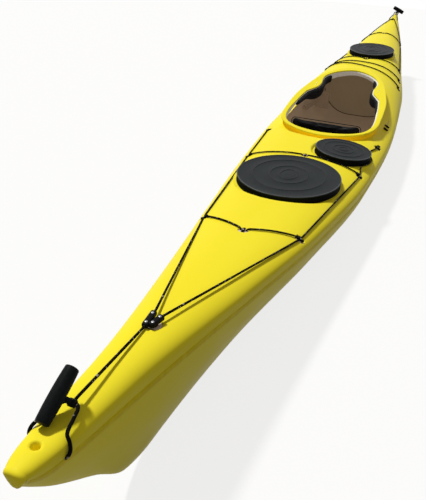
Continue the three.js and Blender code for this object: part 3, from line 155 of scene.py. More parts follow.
def crown_height(x, y):
    section = section_at(x)
    t = np.minimum(np.abs(y) / section.half, 1)
    return section.sheer + (section.ridge - section.sheer) * (1 - t ** crown_power) ** crown_edge_share


def side_point(section, angle):
    y = section.flat + (section.half - section.flat) * np.sin(angle) ** (2 / section.power)
    z = section.sheer - (section.sheer - section.keel) * np.cos(angle) ** (2 / section.power)
    return y, z


def angle_at_drop(section, drop):
    share = np.clip(drop / (section.sheer - section.keel), 0, 1)
    return np.arccos(share ** (section.power / 2))


# Frames: one at a point with given slopes, one lying on the deck
def frame_matrix(position, along, side, up):
    matrix = Matrix((along, side, up)).transposed().to_4x4()
    matrix.translation = position
    return matrix


def tilted_frame(x, y, z, slope, lean):
    along = Vector((1, 0, slope)).normalized()
    across = Vector((0, 1, lean)).normalized()
    up = along.cross(across).normalized()
    return frame_matrix(Vector((x, y, z)), along, up.cross(along), up)


def frame_along(position, direction, up_hint):
    along = Vector(direction).normalized()
    side = Vector(up_hint).cross(along).normalized()
    return frame_matrix(Vector(position), along, side, along.cross(side))


def deck_normal(x, y):
    step = fitting.pocket / 2
    along = crown_height(x + step, y) - crown_height(x - step, y)
    across = crown_height(x, y + step) - crown_height(x, y - step)
    return Vector((-float(along), -float(across), 2 * step)).normalized()


def deck_frame(x, y):
    return frame_along((x, y, float(crown_height(x, y))), (1, 0, 0), deck_normal(x, y))


def fitting_frame(place):
    half = float(section_at(place.x).half)
    return deck_frame(place.x, place.side * fitting.edge_share * half)


def hatch_frame(h):
    return tilted_frame(h.x, h.y, h.top, h.slope, h.lean)


cockpit_slope = (cockpit.front_top - cockpit.rear_top) / cockpit.length
cockpit_frame = tilted_frame(cockpit.rear, 0, cockpit.rear_top, cockpit_slope, 0)


# Smooth curve through points, whose bends follow the distances between them
def curve_through(points, per_span, closed=False):
    places = [Vector(p) for p in points]
    count = len(places)
    spans = count if closed else count - 1
    line = []
    for i in range(spans):
        middle = [places[i], places[(i + 1) % count]]
        before = places[i - 1] if closed or i > 0 else middle[0] * 2 - middle[1]
        after = places[(i + 2) % count] if closed or i + 2 < count else middle[1] * 2 - middle[0]
        gaps = [(b - a).length ** 0.5 for a, b in ((before, middle[0]), tuple(middle), (middle[1], after))]
        start = ((middle[0] - before) / gaps[0] - (middle[1] - before) / (gaps[0] + gaps[1])
                 + (middle[1] - middle[0]) / gaps[1]) * gaps[1]
        end = ((middle[1] - middle[0]) / gaps[1] - (after - middle[0]) / (gaps[1] + gaps[2])
               + (after - middle[1]) / gaps[2]) * gaps[1]
        for step in range(per_span):
            t = step / per_span
            rise = t * t * (3 - 2 * t)
            line.append(middle[0] * (1 - rise) + middle[1] * rise + start * (t * (1 - t) ** 2)
                        + end * (t * t * (t - 1)))
    return line if closed else line + [places[-1]]


def outline_from(span_shares, width_shares, rear, length, half_width):
    half = [(rear + s * length, w * half_width, 0) for s, w in zip(span_shares, width_shares)]
    other = [(x, -y, 0) for x, y, z in reversed(half[1:-1])]
    return np.array([p[:2] for p in curve_through(half + other, outline_steps, closed=True)])


def even(outline, count):
    ring = np.vstack([outline, outline[:1]])
    reach = np.concatenate([[0], np.cumsum(np.linalg.norm(np.diff(ring, axis=0), axis=1))])
    places = np.linspace(0, reach[-1], count, endpoint=False)
    return np.column_stack([np.interp(places, reach, ring[:, k]) for k in (0, 1)])


def grown(outline, distance):
    ahead = np.roll(outline, -1, axis=0)
    behind = np.roll(outline, 1, axis=0)
    tangent = ahead - behind
    tangent /= np.linalg.norm(tangent, axis=1)[:, None]
    area = np.sum(outline[:, 0] * ahead[:, 1] - ahead[:, 0] * outline[:, 1])
    turn = 1 if area > 0 else -1
    return outline + turn * distance * np.column_stack([tangent[:, 1], -tangent[:, 0]])


def ellipse(long, wide, count):
    angles = np.arange(count) * 2 * math.pi / count
    return np.column_stack([long * np.cos(angles), wide * np.sin(angles)])


def placed(matrix, points):
    array = np.array(points, float).reshape(-1, 3)
    turn = np.array(matrix.to_3x3())
    return array @ turn.T + np.array(matrix.translation)


outline_steps = 8
outline_count = 240
lip_outline = even(outline_from(lip_span_shares, lip_width_shares, 0, cockpit.length, cockpit.half_width),
                   outline_count)
opening_outline = even(outline_from(opening_span_shares, opening_width_shares,
                                    cockpit.opening_rear - cockpit.rear, cockpit.opening_length,
                                    cockpit.half_width - cockpit.lip_edge), outline_count)


# Meshes: made from points and faces, dressed, and set to ride on a body
sharp_angle = math.radians(38)


def piece(name, points, faces, finish, body="boat", slot=None, nodes=(), uv=None):
    mesh = bpy.data.meshes.new(name)
    mesh.from_pydata([tuple(p) for p in np.asarray(points, float)], [], faces)
    mesh.update()
    if uv is not None:
        layer = mesh.uv_layers.new(name="along")
        corners = np.empty(len(mesh.loops), int)
        mesh.loops.foreach_get("vertex_index", corners)
        layer.data.foreach_set("uv", np.asarray(uv, np.float32)[corners].ravel())
    for material in finish if isinstance(finish, list) else [finish]:
        mesh.materials.append(material)
    mesh.shade_smooth()
    mesh.set_sharp_from_angle(angle=sharp_angle)
    obj = bpy.data.objects.new(name, mesh)
    bpy.context.scene.collection.objects.link(obj)
    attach(obj, body)
    if nodes:
        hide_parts(*nodes)
    return obj


def facing_out(points, faces):
    bm = bmesh.new()
    corners = [bm.verts.new(tuple(p)) for p in points]
    for face in faces:
        bm.faces.new([corners[i] for i in face])
    bmesh.ops.recalc_face_normals(bm, faces=bm.faces)
    bm.verts.index_update()
    outward = [[v.index for v in face.verts] for face in bm.faces]
    bm.free()
    return outward


# Body through rings of the same number of points, closed at its two ends where asked
def loft(rings, caps=True, around=True):
    count = len(rings[0])
    points = np.vstack([np.asarray(ring, float) for ring in rings])
    faces = []
    for r in range(len(rings) - 1):
        for i in range(count if around else count - 1):
            a = r * count + i
            b = r * count + (i + 1) % count
            faces.append((a, b, b + count, a + count))
    if caps:
        faces.append(tuple(range(count))[::-1])
        faces.append(tuple(range((len(rings) - 1) * count, len(rings) * count)))
    return points, faces


def together(parts):
    points = []
    faces = []
    for part_points, part_faces in parts:
        shift = sum(len(p) for p in points)
        points.append(np.asarray(part_points, float))
        faces += [tuple(i + shift for i in face) for face in part_faces]
    return np.vstack(points), faces


# Piece made of one or more closed bodies
def solid(name, parts, finish, **more):
    points, faces = together(parts)
    return piece(name, points, facing_out(points, faces), finish, **more)


# Rounded block: a rounded rectangle lofted along its length, with rounded ends
def rounded_block(size, corner, matrix, around):
    half = [s / 2 for s in size]
    ends = []
    for k in range(corner_steps + 1):
        angle = math.pi / 2 * k / corner_steps
        ends.append((corner * (1 - math.cos(angle)) - half[0], corner * (1 - math.sin(angle))))
    ends += [(-along, inset) for along, inset in reversed(ends)]
    rings = []
    for along, inset in ends:
        rounding = max(corner - inset, corner / 4)
        ring = rounded_rectangle(half[1] - inset, half[2] - inset, rounding, around)
        rings.append([(along, *point) for point in ring])
    points, faces = loft(rings)
    return placed(matrix, points), faces


def rounded_rectangle(half_wide, half_high, corner, around):
    quarter = around // 4
    points = []
    for turn, (sy, sz) in enumerate(((1, 1), (-1, 1), (-1, -1), (1, -1))):
        for k in range(quarter):
            angle = math.pi / 2 * (turn + k / (quarter - 1))
            points.append((sy * (half_wide - corner) + corner * math.cos(angle),
                           sz * (half_high - corner) + corner * math.sin(angle)))
    return points


corner_steps = 4
low_around = 16
high_around = 24


# Body turned round the Z axis of a frame, from pairs of radius and height
def turned(profile, matrix, around):
    angles = np.arange(around) * 2 * math.pi / around
    rings = [np.column_stack([r * np.cos(angles), r * np.sin(angles), np.full(around, z)])
             for r, z in profile]
    points, faces = loft(rings)
    return placed(matrix, points), faces


# Short barrel with a bevelled rim at each end, about its own Z axis
def rimmed_barrel(radius, half, rim, end_share, matrix, around):
    ahead = [(radius, half - rim), (radius - rim, half), (radius * end_share, half)]
    return turned([(r, -z) for r, z in reversed(ahead)] + ahead, matrix, around)


# Round tube along a smooth line, with the distance along it kept for its weave
def tube(course, radius, around, caps=True):
    places = [Vector(p) for p in course]
    directions = [(b - a).normalized() for a, b in zip(places[:1] + places, places[1:] + places[-1:])
                  if (b - a).length > 0]
    ahead = [(places[min(i + 1, len(places) - 1)] - places[max(i - 1, 0)]).normalized()
             for i in range(len(places))]
    side = directions[0].orthogonal().normalized()
    rings = []
    uv = []
    reach = 0
    for i, (place, direction) in enumerate(zip(places, ahead)):
        side = (side - direction * side.dot(direction)).normalized()
        up = direction.cross(side)
        if i > 0:
            reach += (place - places[i - 1]).length
        for k in range(around + 1):
            angle = 2 * math.pi * k / around
            rings.append(place + (side * math.cos(angle) + up * math.sin(angle)) * radius)
            uv.append((reach, k / around))
    count = around + 1
    faces = [(r * count + k, r * count + k + 1, (r + 1) * count + k + 1, (r + 1) * count + k)
             for r in range(len(places) - 1) for k in range(around)]
    if caps:
        faces.append(tuple(range(around))[::-1])
        faces.append(tuple((len(places) - 1) * count + k for k in range(around)))
    return np.array([tuple(p) for p in rings]), faces, uv


# Materials: each a small graph of procedural detail round one shader. Scales are waves per metre.
grain = Sizes(low=0.35, high=0.65, detail=3, strength=0.25)
gel = Sizes(roughness=0.4, specular=0.02, broad=1.6, broad_stretch=(0.4, 1, 1), scuffs=22,
            scuff_stretch=(0.3, 1, 1), bright=0.34, dull=0.42, dull_at=0.7, ripple=9,
            ripple_strength=0.08, ripple_height=0.0006)
cloth = Sizes(roughness=0.6, specular=0.05, broad=5, squares=260, strength=0.12, height=0.0004)
weave = Sizes(roughness=0.8, specular=0.03, strands=4, turn=math.radians(45), strength=0.5,
              height=0.0004)


def shader_of(material):
    return material.node_tree.nodes["Principled BSDF"]


# The painted glow is an emission in the base colour: painted light on surfaces that are no lamp
def new_material(name, color, roughness, metallic=0, specular=0.5, glow=0):
    material = bpy.data.materials.new(name)
    material.use_nodes = True
    settings = {"Base Color": (*color, 1), "Roughness": roughness, "Metallic": metallic,
                "Specular IOR Level": specular, "Emission Color": (*color, 1), "Emission Strength": glow}
    for socket, value in settings.items():
        shader_of(material).inputs[socket].default_value = value
    return material


def add_node(material, kind, **values):
    node = material.node_tree.nodes.new(f"ShaderNode{kind}")
    for name, value in values.items():
        node.inputs[name].default_value = value
    return node


def link(material, source, output, target, name):
    material.node_tree.links.new(source.outputs[output], target.inputs[name])


def object_noise(material, scale, detail=grain.detail, stretch=(1, 1, 1)):
    place = add_node(material, "TexCoord")
    mapping = add_node(material, "Mapping", Scale=stretch)
    noise = add_node(material, "TexNoise", Scale=scale, Detail=detail)
    link(material, place, "Object", mapping, "Vector")
    link(material, mapping, "Vector", noise, "Vector")
    return noise


def ramp_between(material, source, output, ends, target, span=(grain.low, grain.high)):
    ramp = add_node(material, "ValToRGB")
    for element, position, color in zip(ramp.color_ramp.elements, span, ends):
        element.position = position
        element.color = (*color, 1)
    link(material, source, output, ramp, "Fac")
    link(material, ramp, "Color", shader_of(material), target)


def bump(material, source, output, strength, distance):
    node = add_node(material, "Bump", Strength=strength, Distance=distance)
    link(material, source, output, node, "Height")
    link(material, node, "Normal", shader_of(material), "Normal")


def mottled(name, low, high, roughness, scale, height, **more):
    material = new_material(name, low, roughness, **more)
    noise = object_noise(material, scale)
    ramp_between(material, noise, "Fac", (low, high), "Base Color")
    bump(material, noise, "Fac", grain.strength, height)
    return material


def gelcoat(name, low, high):
    material = new_material(name, low, gel.roughness, specular=gel.specular)
    broad = object_noise(material, gel.broad, stretch=gel.broad_stretch)
    ramp_between(material, broad, "Fac", (low, high), "Base Color")
    scuffs = object_noise(material, gel.scuffs, stretch=gel.scuff_stretch)
    ramp_between(material, scuffs, "Fac", ([gel.bright] * 3, [gel.dull] * 3), "Roughness",
                 (grain.low, gel.dull_at))
    ripple = object_noise(material, gel.ripple, detail=1)
    bump(material, ripple, "Fac", gel.ripple_strength, gel.ripple_height)
    return material


def laminate(name, low, high, glow=0):
    material = new_material(name, low, cloth.roughness, specular=cloth.specular, glow=glow)
    ramp_between(material, object_noise(material, cloth.broad), "Fac", (low, high), "Base Color")
    squares = add_node(material, "TexChecker", Scale=cloth.squares)
    link(material, add_node(material, "TexCoord"), "Object", squares, "Vector")
    bump(material, squares, "Fac", cloth.strength, cloth.height)
    return material


# Braided cord: strands that cross round it, with pale flecks in the braid
def braid(name, dark, pale, pitch, fleck_share):
    material = new_material(name, dark, weave.roughness, specular=weave.specular)
    place = add_node(material, "UVMap")
    place.uv_map = "along"
    scale = add_node(material, "Mapping", Scale=(1 / pitch, weave.strands, 1), Rotation=(0, 0, weave.turn))
    link(material, place, "UV", scale, "Vector")
    strands = add_node(material, "TexChecker", Scale=1)
    link(material, scale, "Vector", strands, "Vector")
    snap = add_node(material, "VectorMath")
    snap.operation = "FLOOR"
    link(material, scale, "Vector", snap, 0)
    flecks = add_node(material, "TexWhiteNoise")
    flecks.noise_dimensions = "2D"
    link(material, snap, "Vector", flecks, "Vector")
    ramp_between(material, flecks, "Value", (dark, pale), "Base Color",
                 (1 - fleck_share, 1 - fleck_share / 2))
    bump(material, strands, "Fac", weave.strength, weave.height)
    return material


yellow = gelcoat("yellow_gelcoat", (0.92, 0.79, 0.03), (0.95, 0.84, 0.04))
seam_yellow = mottled("seam_tape", (0.78, 0.62, 0.008), (0.84, 0.7, 0.012), 0.45, 60, 0.0004,
                      specular=0.02)
# Interior and front bulkhead laminates carry a painted glow for the light that reaches into the hull
interior = laminate("interior_laminate", (0.6, 0.48, 0.36), (0.66, 0.55, 0.43), glow=0.075)
bulkhead_laminate = laminate("bulkhead_laminate", (0.5, 0.42, 0.29), (0.54, 0.46, 0.33), glow=0.07)
# Riser faces: a deeper orange and a painted glow, painted light for light through the laminate and bounce
# from the deck onto faces in shade
riser_painted_light = mottled("riser_painted_light", (0.93, 0.6, 0.006), (0.96, 0.66, 0.01), 0.45, 9, 0.0004,
                       specular=0.02, glow=0.15)
sealant = mottled("sealant", (0.1, 0.06, 0.035), (0.14, 0.09, 0.05), 0.6, 120, 0.0004, specular=0.1)
# The pedals carry a painted glow for light in the cockpit
pedal_plastic = mottled("pedal_plastic", (0.42, 0.33, 0.245), (0.47, 0.37, 0.28), 0.6, 200, 0.0003,
                        specular=0.03, glow=0.08)
# The coaming band carries a painted glow for light shining through it
pale_laminate = laminate("pale_laminate", (0.8, 0.79, 0.76), (0.88, 0.87, 0.85), glow=0.1)
grey_laminate = laminate("grey_laminate", (0.2, 0.19, 0.17), (0.27, 0.255, 0.23))
lid_rubber = mottled("lid_rubber", (0.014, 0.017, 0.019), (0.022, 0.026, 0.029), 0.48, 240, 0.0003,
                     specular=0.035)
# Skirt: darker than the lid's top, as painted shade
skirt_painted_shade = mottled("skirt_painted_shade", (0.004, 0.005, 0.005), (0.008, 0.009, 0.009), 0.6, 200, 0.0003,
                       specular=0.01)
# Pale line round the lid's lip: a painted highlight
lid_painted_highlight = mottled("lid_painted_highlight", (0.06, 0.07, 0.075), (0.11, 0.12, 0.13), 0.35, 200, 0.0002, specular=0.05)
black_plastic = mottled("black_plastic", (0.005, 0.005, 0.005), (0.009, 0.009, 0.009), 0.4, 500, 0.0002,
                        specular=0.03)
toggle_plastic = mottled("toggle_plastic", (0.004, 0.005, 0.005), (0.007, 0.008, 0.009), 0.5, 160, 0.0003,
                         specular=0.04)
foam = mottled("closed_foam", (0.006, 0.007, 0.009), (0.011, 0.013, 0.016), 0.55, 420, 0.0006,
               specular=0.06)
steel = mottled("screw_steel", (0.3, 0.3, 0.31), (0.38, 0.38, 0.39), 0.3, 300, 0.0001, metallic=1)
deck_cord = braid("deck_cord", (0.005, 0.005, 0.005), (0.4, 0.38, 0.34), 0.0022, 0.05)
elastic_cord = braid("elastic_cord", (0.005, 0.005, 0.005), (0.1, 0.1, 0.1), 0.0016, 0.04)
# The seat carries a painted glow for light in the cockpit
seat_laminate = laminate("seat_laminate", (0.46, 0.4, 0.32), (0.54, 0.48, 0.4), glow=0.03)
fabric = mottled("black_fabric", (0.004, 0.004, 0.005), (0.008, 0.008, 0.009), 0.5, 380, 0.0005,
                 specular=0.05)


# Camera: the place and lens that the photograph was fitted with
view = Sizes(width=426, height=500, focal=557.94, centre_x=197.65, centre_y=252.64, sensor=36,
             roll=0.035, far=60, place=(-2.8328, -0.4446, 1.1026), target=(-0.4487, 0.5299, -0.4476))


def make_camera():
    data = bpy.data.cameras.new("camera")
    camera = bpy.data.objects.new("camera", data)
    bpy.context.scene.collection.objects.link(camera)
    ahead = (Vector(view.target) - Vector(view.place)).normalized()
    up_hint = Vector((0, math.sin(view.roll), math.cos(view.roll)))
    right = ahead.cross(up_hint).normalized()
    camera.matrix_world = frame_matrix(Vector(view.place), right, right.cross(ahead), -ahead)
    larger = max(view.width, view.height)
    data.sensor_width = view.sensor
    data.lens = view.focal * view.sensor / larger
    data.shift_x = (view.width / 2 - view.centre_x) / larger
    data.shift_y = (view.centre_y - view.height / 2) / larger
    data.clip_end = view.far
    bpy.context.scene.camera = camera


make_camera()


# Deck skin: its height with the cockpit's recess, and the plane in which it is meshed
mesh_steps = Sizes(plain=0.009, fine=0.0045, end=0.004, rear=-0.37, front=0.68, end_reach=0.16, rows=24,
                   fine_rows=48, side_rows=4, ring_margin=0.004, same=0.00004, merged=1e-7, digits=6,
                   chunk=4000)


def soft_min(a, b, width):
    blend = np.maximum(width - np.abs(a - b), 0) / width
    return np.minimum(a, b) - blend * blend * width / 4


def soft_max(a, b, width):
    return -soft_min(-a, -b, width)


def distance_outside(points, outline):
    start = outline
    ahead = np.roll(outline, -1, axis=0)
    step = ahead - start
    sizes = np.sum(step * step, axis=1)
    height = np.where(step[None, :, 1] == 0, 1, step[None, :, 1])
    result = np.empty(len(points))
    for low in range(0, len(points), mesh_steps.chunk):
        block = points[low:low + mesh_steps.chunk]
        offset = block[:, None, :] - start[None]
        share = np.clip(np.sum(offset * step[None], axis=2) / sizes[None], 0, 1)
        gap = offset - share[:, :, None] * step[None]
        distance = np.sqrt(np.min(np.sum(gap * gap, axis=2), axis=1))
        crosses = (start[None, :, 1] > block[:, None, 1]) != (ahead[None, :, 1] > block[:, None, 1])
        at = start[None, :, 0] + step[None, :, 0] * (block[:, None, 1] - start[None, :, 1]) / height
        inside = np.sum(crosses & (block[:, None, 0] < at), axis=1) % 2 == 1
        result[low:low + mesh_steps.chunk] = np.where(inside, -distance, distance)
    return result


def lip_distance(x, y):
    norm = math.hypot(1, cockpit_slope)
    along = (x - cockpit.rear) * norm - cockpit_slope * cockpit.recess
    return distance_outside(np.column_stack([along, y]), lip_outline)


def skin_height(x, y):
    x = np.asarray(x, float)
    y = np.asarray(y, float)
    height = np.array(crown_height(x, y), float)
    margin = 2 * (cockpit.recess_floor + cockpit.recess_slope)
    near = (x > cockpit.rear - margin) & (x < cockpit.rear + cockpit.length + margin)
    if np.any(near):
        distance = lip_distance(x[near], y[near])
        steepness = (cockpit.recess - cockpit.recess_inset) / cockpit.recess_slope
        rise = soft_max(distance - cockpit.recess_floor, 0 * distance, cockpit.soften)
        plane = cockpit.rear_top + cockpit_slope * (x[near] - cockpit.rear)
        floor = plane + (steepness * rise - cockpit.recess) * math.hypot(1, cockpit_slope)
        height[near] = soft_min(height[near], floor, cockpit.soften)
    flat = dished(height.reshape(-1), x.reshape(-1), y.reshape(-1))
    return flat.reshape(height.shape)


def hatch_distance(h, x, y):
    long = h.long + hatch.clearance
    wide = h.wide + hatch.clearance
    return (np.hypot((x - h.x) / long, (y - h.y) / wide) - 1) * math.sqrt(long * wide)


# Round each hatch the deck dips in a soft dish to the lid's foot
def dished(height, x, y):
    for h in hatches.values():
        distance = hatch_distance(h, x, y)
        near = distance < 2 * hatch.dish_reach
        if np.any(near):
            rise = soft_max(distance[near], 0 * distance[near], hatch.dish_soft)
            plane = h.top + h.slope * (x[near] - h.x) + h.lean * (y[near] - h.y)
            floor = plane - hatch.dish + hatch.dish_slope * rise
            height[near] = soft_min(height[near], floor, hatch.dish_soft)
    return height


def flat_place(x, y):
    half = section_at(x).half
    return half * np.arcsin(np.clip(np.abs(y) / half, 0, 1)) * np.sign(y)


def skin_point(x, v):
    section = section_at(x)
    edge = section.half * math.pi / 2
    reach = np.minimum(np.abs(v), edge)
    y = section.half * np.sin(reach / section.half)
    z = skin_height(x, y * np.sign(v))
    beyond = np.abs(v) - edge
    side_y, side_z = side_point(section, angle_at_drop(section, np.maximum(beyond, 0)))
    below = beyond > 0
    return np.column_stack([x, np.where(below, side_y, y) * np.sign(v), np.where(below, side_z, z)])


# Rings round a feature: world places, each with the spot in the mesh plane where it lies
def ring_places(matrix, outline):
    flat = placed(matrix, np.column_stack([outline, np.zeros(len(outline))]))
    return flat[:, 0], flat[:, 1]


def seat_rings(h):
    frame_here = hatch_frame(h)
    inverse = np.array(frame_here.inverted())
    rings = []
    for grow, share in seat_profile_shares:
        grow_here = hatch.clearance + grow
        outline = ellipse(h.long + grow_here, h.wide + grow_here, seat_segments)
        x, y = ring_places(frame_here, outline)
        top = skin_height(x, y)
        plane = -(inverse[2, 0] * x + inverse[2, 1] * y + inverse[2, 3]) / inverse[2, 2]
        floor = plane - hatch.seat / inverse[2, 2]
        rings.append((x, y, np.column_stack([x, y, top + (floor - top) * share])))
    return rings


def dish_rings(frame_here, radius, floor_radius, depth):
    inverse = frame_here.inverted()
    rings = []
    for place, share in dish_profile_shares:
        reach = floor_radius * min(place, 1) + (radius - floor_radius) * max(place - 1, 0)
        x, y = ring_places(frame_here, ellipse(reach, reach, dish_segments))
        surface = placed(inverse, np.column_stack([x, y, skin_height(x, y)]))
        surface[:, 2] = surface[:, 2] * (1 - share) - depth * share
        rings.append((x, y, placed(frame_here, surface)))
    return rings


def outline_rings(frame_here, outline, profile):
    inverse = frame_here.inverted()
    rings = []
    for grow, depth in profile:
        x, y = ring_places(frame_here, grown(outline, grow))
        surface = placed(inverse, np.column_stack([x, y, skin_height(x, y)]))
        surface[:, 2] -= depth
        rings.append((x, y, placed(frame_here, surface)))
    return rings


seat_segments = 160
dish_segments = 36
seat_profile_shares = [(0.005, 0), (0.0025, 0.004), (0.001, 0.03), (0.0002, 0.09), (0, 0.2),
                       (-0.0002, 0.8), (-0.0008, 0.93), (-0.002, 0.985), (-0.004, 1), (-0.0235, 1)]
dish_profile_shares = [(2.35, 0), (2.15, 0.006), (2, 0.045), (1.86, 0.15), (1.62, 0.4), (1.36, 0.7),
                       (1.12, 0.9), (0.9, 0.975), (0.6, 1), (0.25, 1)]
hole_profile = [(0.0022, 0), (0.0008, 0.0002), (0.0001, 0.0009), (0, 0.003), (-0.0002, 0.02)]
socket_profile = [(0.0065, 0), (0.0045, 0.0006), (0.0028, 0.002), (0.0016, 0.0045), (0.0008, 0.009),
                  (0, 0.02)]

# Skeg slider's slot beside the cockpit
slider = Sizes(rear_x=0.003, x=0.046, width=0.008, height=0.007, lift=0.001, slot=0.005, travel=0.09,
               stem_depth=0.012, stem=0.004, corner=0.0024, stem_corner=0.0006, foot=0.001,
               foot_half_share=0.6)
slider_place_share = 0.3636
slider_length_share = 0.394
side_deck = float(section_at(slider.x).half) - cockpit.half_width
slider_y = -cockpit.half_width - slider_place_share * side_deck
slider_half = slider_length_share * side_deck / 2


def slider_frame():
    start = Vector((slider.x, slider_y, float(crown_height(slider.x, slider_y))))
    end_x = slider.x + slider.travel
    end = Vector((end_x, slider_y, float(crown_height(end_x, slider_y))))
    return frame_along(start, end - start, deck_normal(slider.x, slider_y))


def slot_outline():
    half = slider.slot / 2
    angles = np.linspace(-math.pi / 2, math.pi / 2, dish_segments // 3)
    front = np.column_stack([slider.travel + half * np.cos(angles), half * np.sin(angles)])
    rear = -front
    rear[:, 0] += slider.travel
    return np.vstack([front, rear])


# Deck and hull skins stop short of the ends, where a rounded cap closes them
cap_shares = [(1, 0), (0.99, 0.22), (0.955, 0.45), (0.88, 0.67), (0.75, 0.84), (0.55, 0.95),
              (0.3, 0.99), (0.08, 1)]
nose_cap = Sizes(reach=0.011, inset=0.009, centre_share=0.72)
skin_end = hull.length / 2 - nose_cap.inset


# Points of the deck: a grid of stations, the rings of each feature, and the rings of the recess
def deck_grid():
    places = []
    x = -skin_end
    while x < skin_end:
        fine = mesh_steps.rear < x < mesh_steps.front
        rows = mesh_steps.fine_rows if fine else mesh_steps.rows
        places.append((x, rows))
        near_end = skin_end - abs(x) < mesh_steps.end_reach
        x += mesh_steps.fine if fine else mesh_steps.end if near_end else mesh_steps.plain
    places.append((skin_end, mesh_steps.rows))
    spots = []
    rims = []
    for x, rows in places:
        section = section_at(x)
        edge = float(section.half) * math.pi / 2
        inner = np.linspace(-edge, edge, 2 * rows + 1)
        beyond = edge + float(section.drop) * np.arange(1, mesh_steps.side_rows + 1) / mesh_steps.side_rows
        for v in np.concatenate([-beyond[::-1], inner, beyond]):
            spots.append((x, v))
        rims.append((x, beyond[-1]))
    return np.array(spots), np.array(rims)


def deck_features():
    features = [("hole", seat_rings(h)) for h in hatches.values()]
    features += [("dish", dish_rings(fitting_frame(place), fitting.pocket, fitting.floor, fitting.depth))
                 for place in fitting_places.values()]
    features.append(("dish", dish_rings(deck_frame(vee.x, 0), vee.pocket, vee.floor, vee.depth)))
    socket = ellipse(rudder_socket.radius, rudder_socket.radius, dish_segments)
    features.append(("dish", outline_rings(deck_frame(rudder_socket.x, 0), socket, socket_profile)))
    features.append(("dish", outline_rings(slider_frame(), slot_outline(), hole_profile)))
    return features


def recess_spots():
    norm = math.hypot(1, cockpit_slope)
    rings = []
    for distance in recess_rings:
        outline = grown(lip_outline, distance)
        x = cockpit.rear + (outline[:, 0] + cockpit_slope * cockpit.recess) / norm
        rings.append((x, outline[:, 1]))
    return rings


dish_grows = [0.008, 0.0105, 0.0135, 0.017, 0.021, 0.026, 0.032, 0.04, 0.05]
dish_edge_share = 0.93
recess_rings = [-0.0165, -0.008, 0, 0.006, 0.01, 0.013, 0.016, 0.02, 0.025, 0.03, 0.036, 0.042]


def inside_polygon(spots, polygon):
    return distance_outside(spots, polygon) < 0


def zone_of(ring):
    return np.column_stack([ring[0], flat_place(ring[0], ring[1])])


def clear_of(zones, spots):
    clear = np.ones(len(spots), bool)
    for zone in zones:
        clear &= distance_outside(spots, zone) > mesh_steps.ring_margin / 2
    return clear


# Grid points inside a feature's outer ring make room for it, and those of the rim always stay
def grid_left(spots, outer, zones):
    keep = np.ones(len(spots), bool)
    near = np.abs(spots[:, 0] - outer[:, 0].mean()) < cockpit.length
    keep[near] &= ~inside_polygon(spots[near], grown(outer, mesh_steps.ring_margin / 2))
    for zone in zones:
        low = zone.min(axis=0) - mesh_steps.ring_margin
        high = zone.max(axis=0) + mesh_steps.ring_margin
        near = np.all((spots > low) & (spots < high), axis=1)
        keep[near] &= ~inside_polygon(spots[near], grown(zone, mesh_steps.ring_margin / 2))
    section = section_at(spots[:, 0])
    for h in hatches.values():
        wide = hatch_distance(h, spots[:, 0], spots[:, 1]) < dish_grows[-1]
        keep[wide & (np.abs(spots[:, 1]) < dish_edge_share * section.half)] = False
    on_rim = np.abs(np.abs(spots[:, 1]) - section.half * math.pi / 2 - section.drop) < mesh_steps.same
    return spots[keep | on_rim]


# Rings of points for the soft dish round each hatch, clear of the other features
def dish_spots(outer, zones):
    parts = []
    for h in hatches.values():
        for grow in dish_grows:
            out = hatch.clearance + grow
            x, y = ring_places(hatch_frame(h), ellipse(h.long + out, h.wide + out, seat_segments))
            inside = np.abs(y) < dish_edge_share * section_at(x).half
            parts.append(zone_of((x[inside], y[inside])))
    spots = np.vstack(parts)
    free = ~inside_polygon(spots, grown(outer, mesh_steps.ring_margin / 2))
    return spots[free & clear_of(zones, spots)]


def ring_edges(start, count):
    return [(start + i, start + (i + 1) % count) for i in range(count)]


# Points of the recess and of the features, the edges that must stay, and the known world places
def add_rings(corners, rings, features, zones):
    known = {}
    edges = ring_edges(len(corners), len(rings[0][0]))
    for ring in rings:
        flat = zone_of(ring)
        corners += [tuple(p) for p in flat[clear_of(zones, flat)]]
    for form, feature in features:
        for ring in feature:
            start = len(corners)
            corners += [tuple(p) for p in zone_of(ring)]
            known.update({start + i: place for i, place in enumerate(ring[2])})
            edges += ring_edges(start, len(ring[2]))
        if form == "dish":
            known[len(corners)] = feature[-1][2].mean(axis=0)
            middle_x, middle_y = feature[-1][0].mean(), feature[-1][1].mean()
            corners.append((middle_x, float(flat_place(middle_x, middle_y))))
    return edges, known


def rim_edges(corners, rims):
    index = {}
    for i, corner in enumerate(corners):
        index.setdefault(tuple(round(float(value), mesh_steps.digits) for value in corner), i)
    found = [[index[(round(float(x), mesh_steps.digits), round(float(side * v), mesh_steps.digits))]
              for side in (1, -1)] for x, v in rims]
    return [(a[k], b[k]) for a, b in zip(found, found[1:]) for k in (0, 1)]


def deck_faces(flat, triangles, opening, holes):
    middle = flat[triangles].mean(axis=1)
    section = section_at(middle[:, 0])
    allowed = np.abs(middle[:, 1]) < section.half * math.pi / 2 + section.drop
    near = np.abs(middle[:, 0]) < cockpit.length
    allowed[near] &= ~inside_polygon(middle[near], opening)
    for zone in holes:
        near = np.all((middle > zone.min(axis=0)) & (middle < zone.max(axis=0)), axis=1)
        allowed[near] &= ~inside_polygon(middle[near], zone)
    return [tuple(int(i) for i in face) for face in triangles[allowed]]


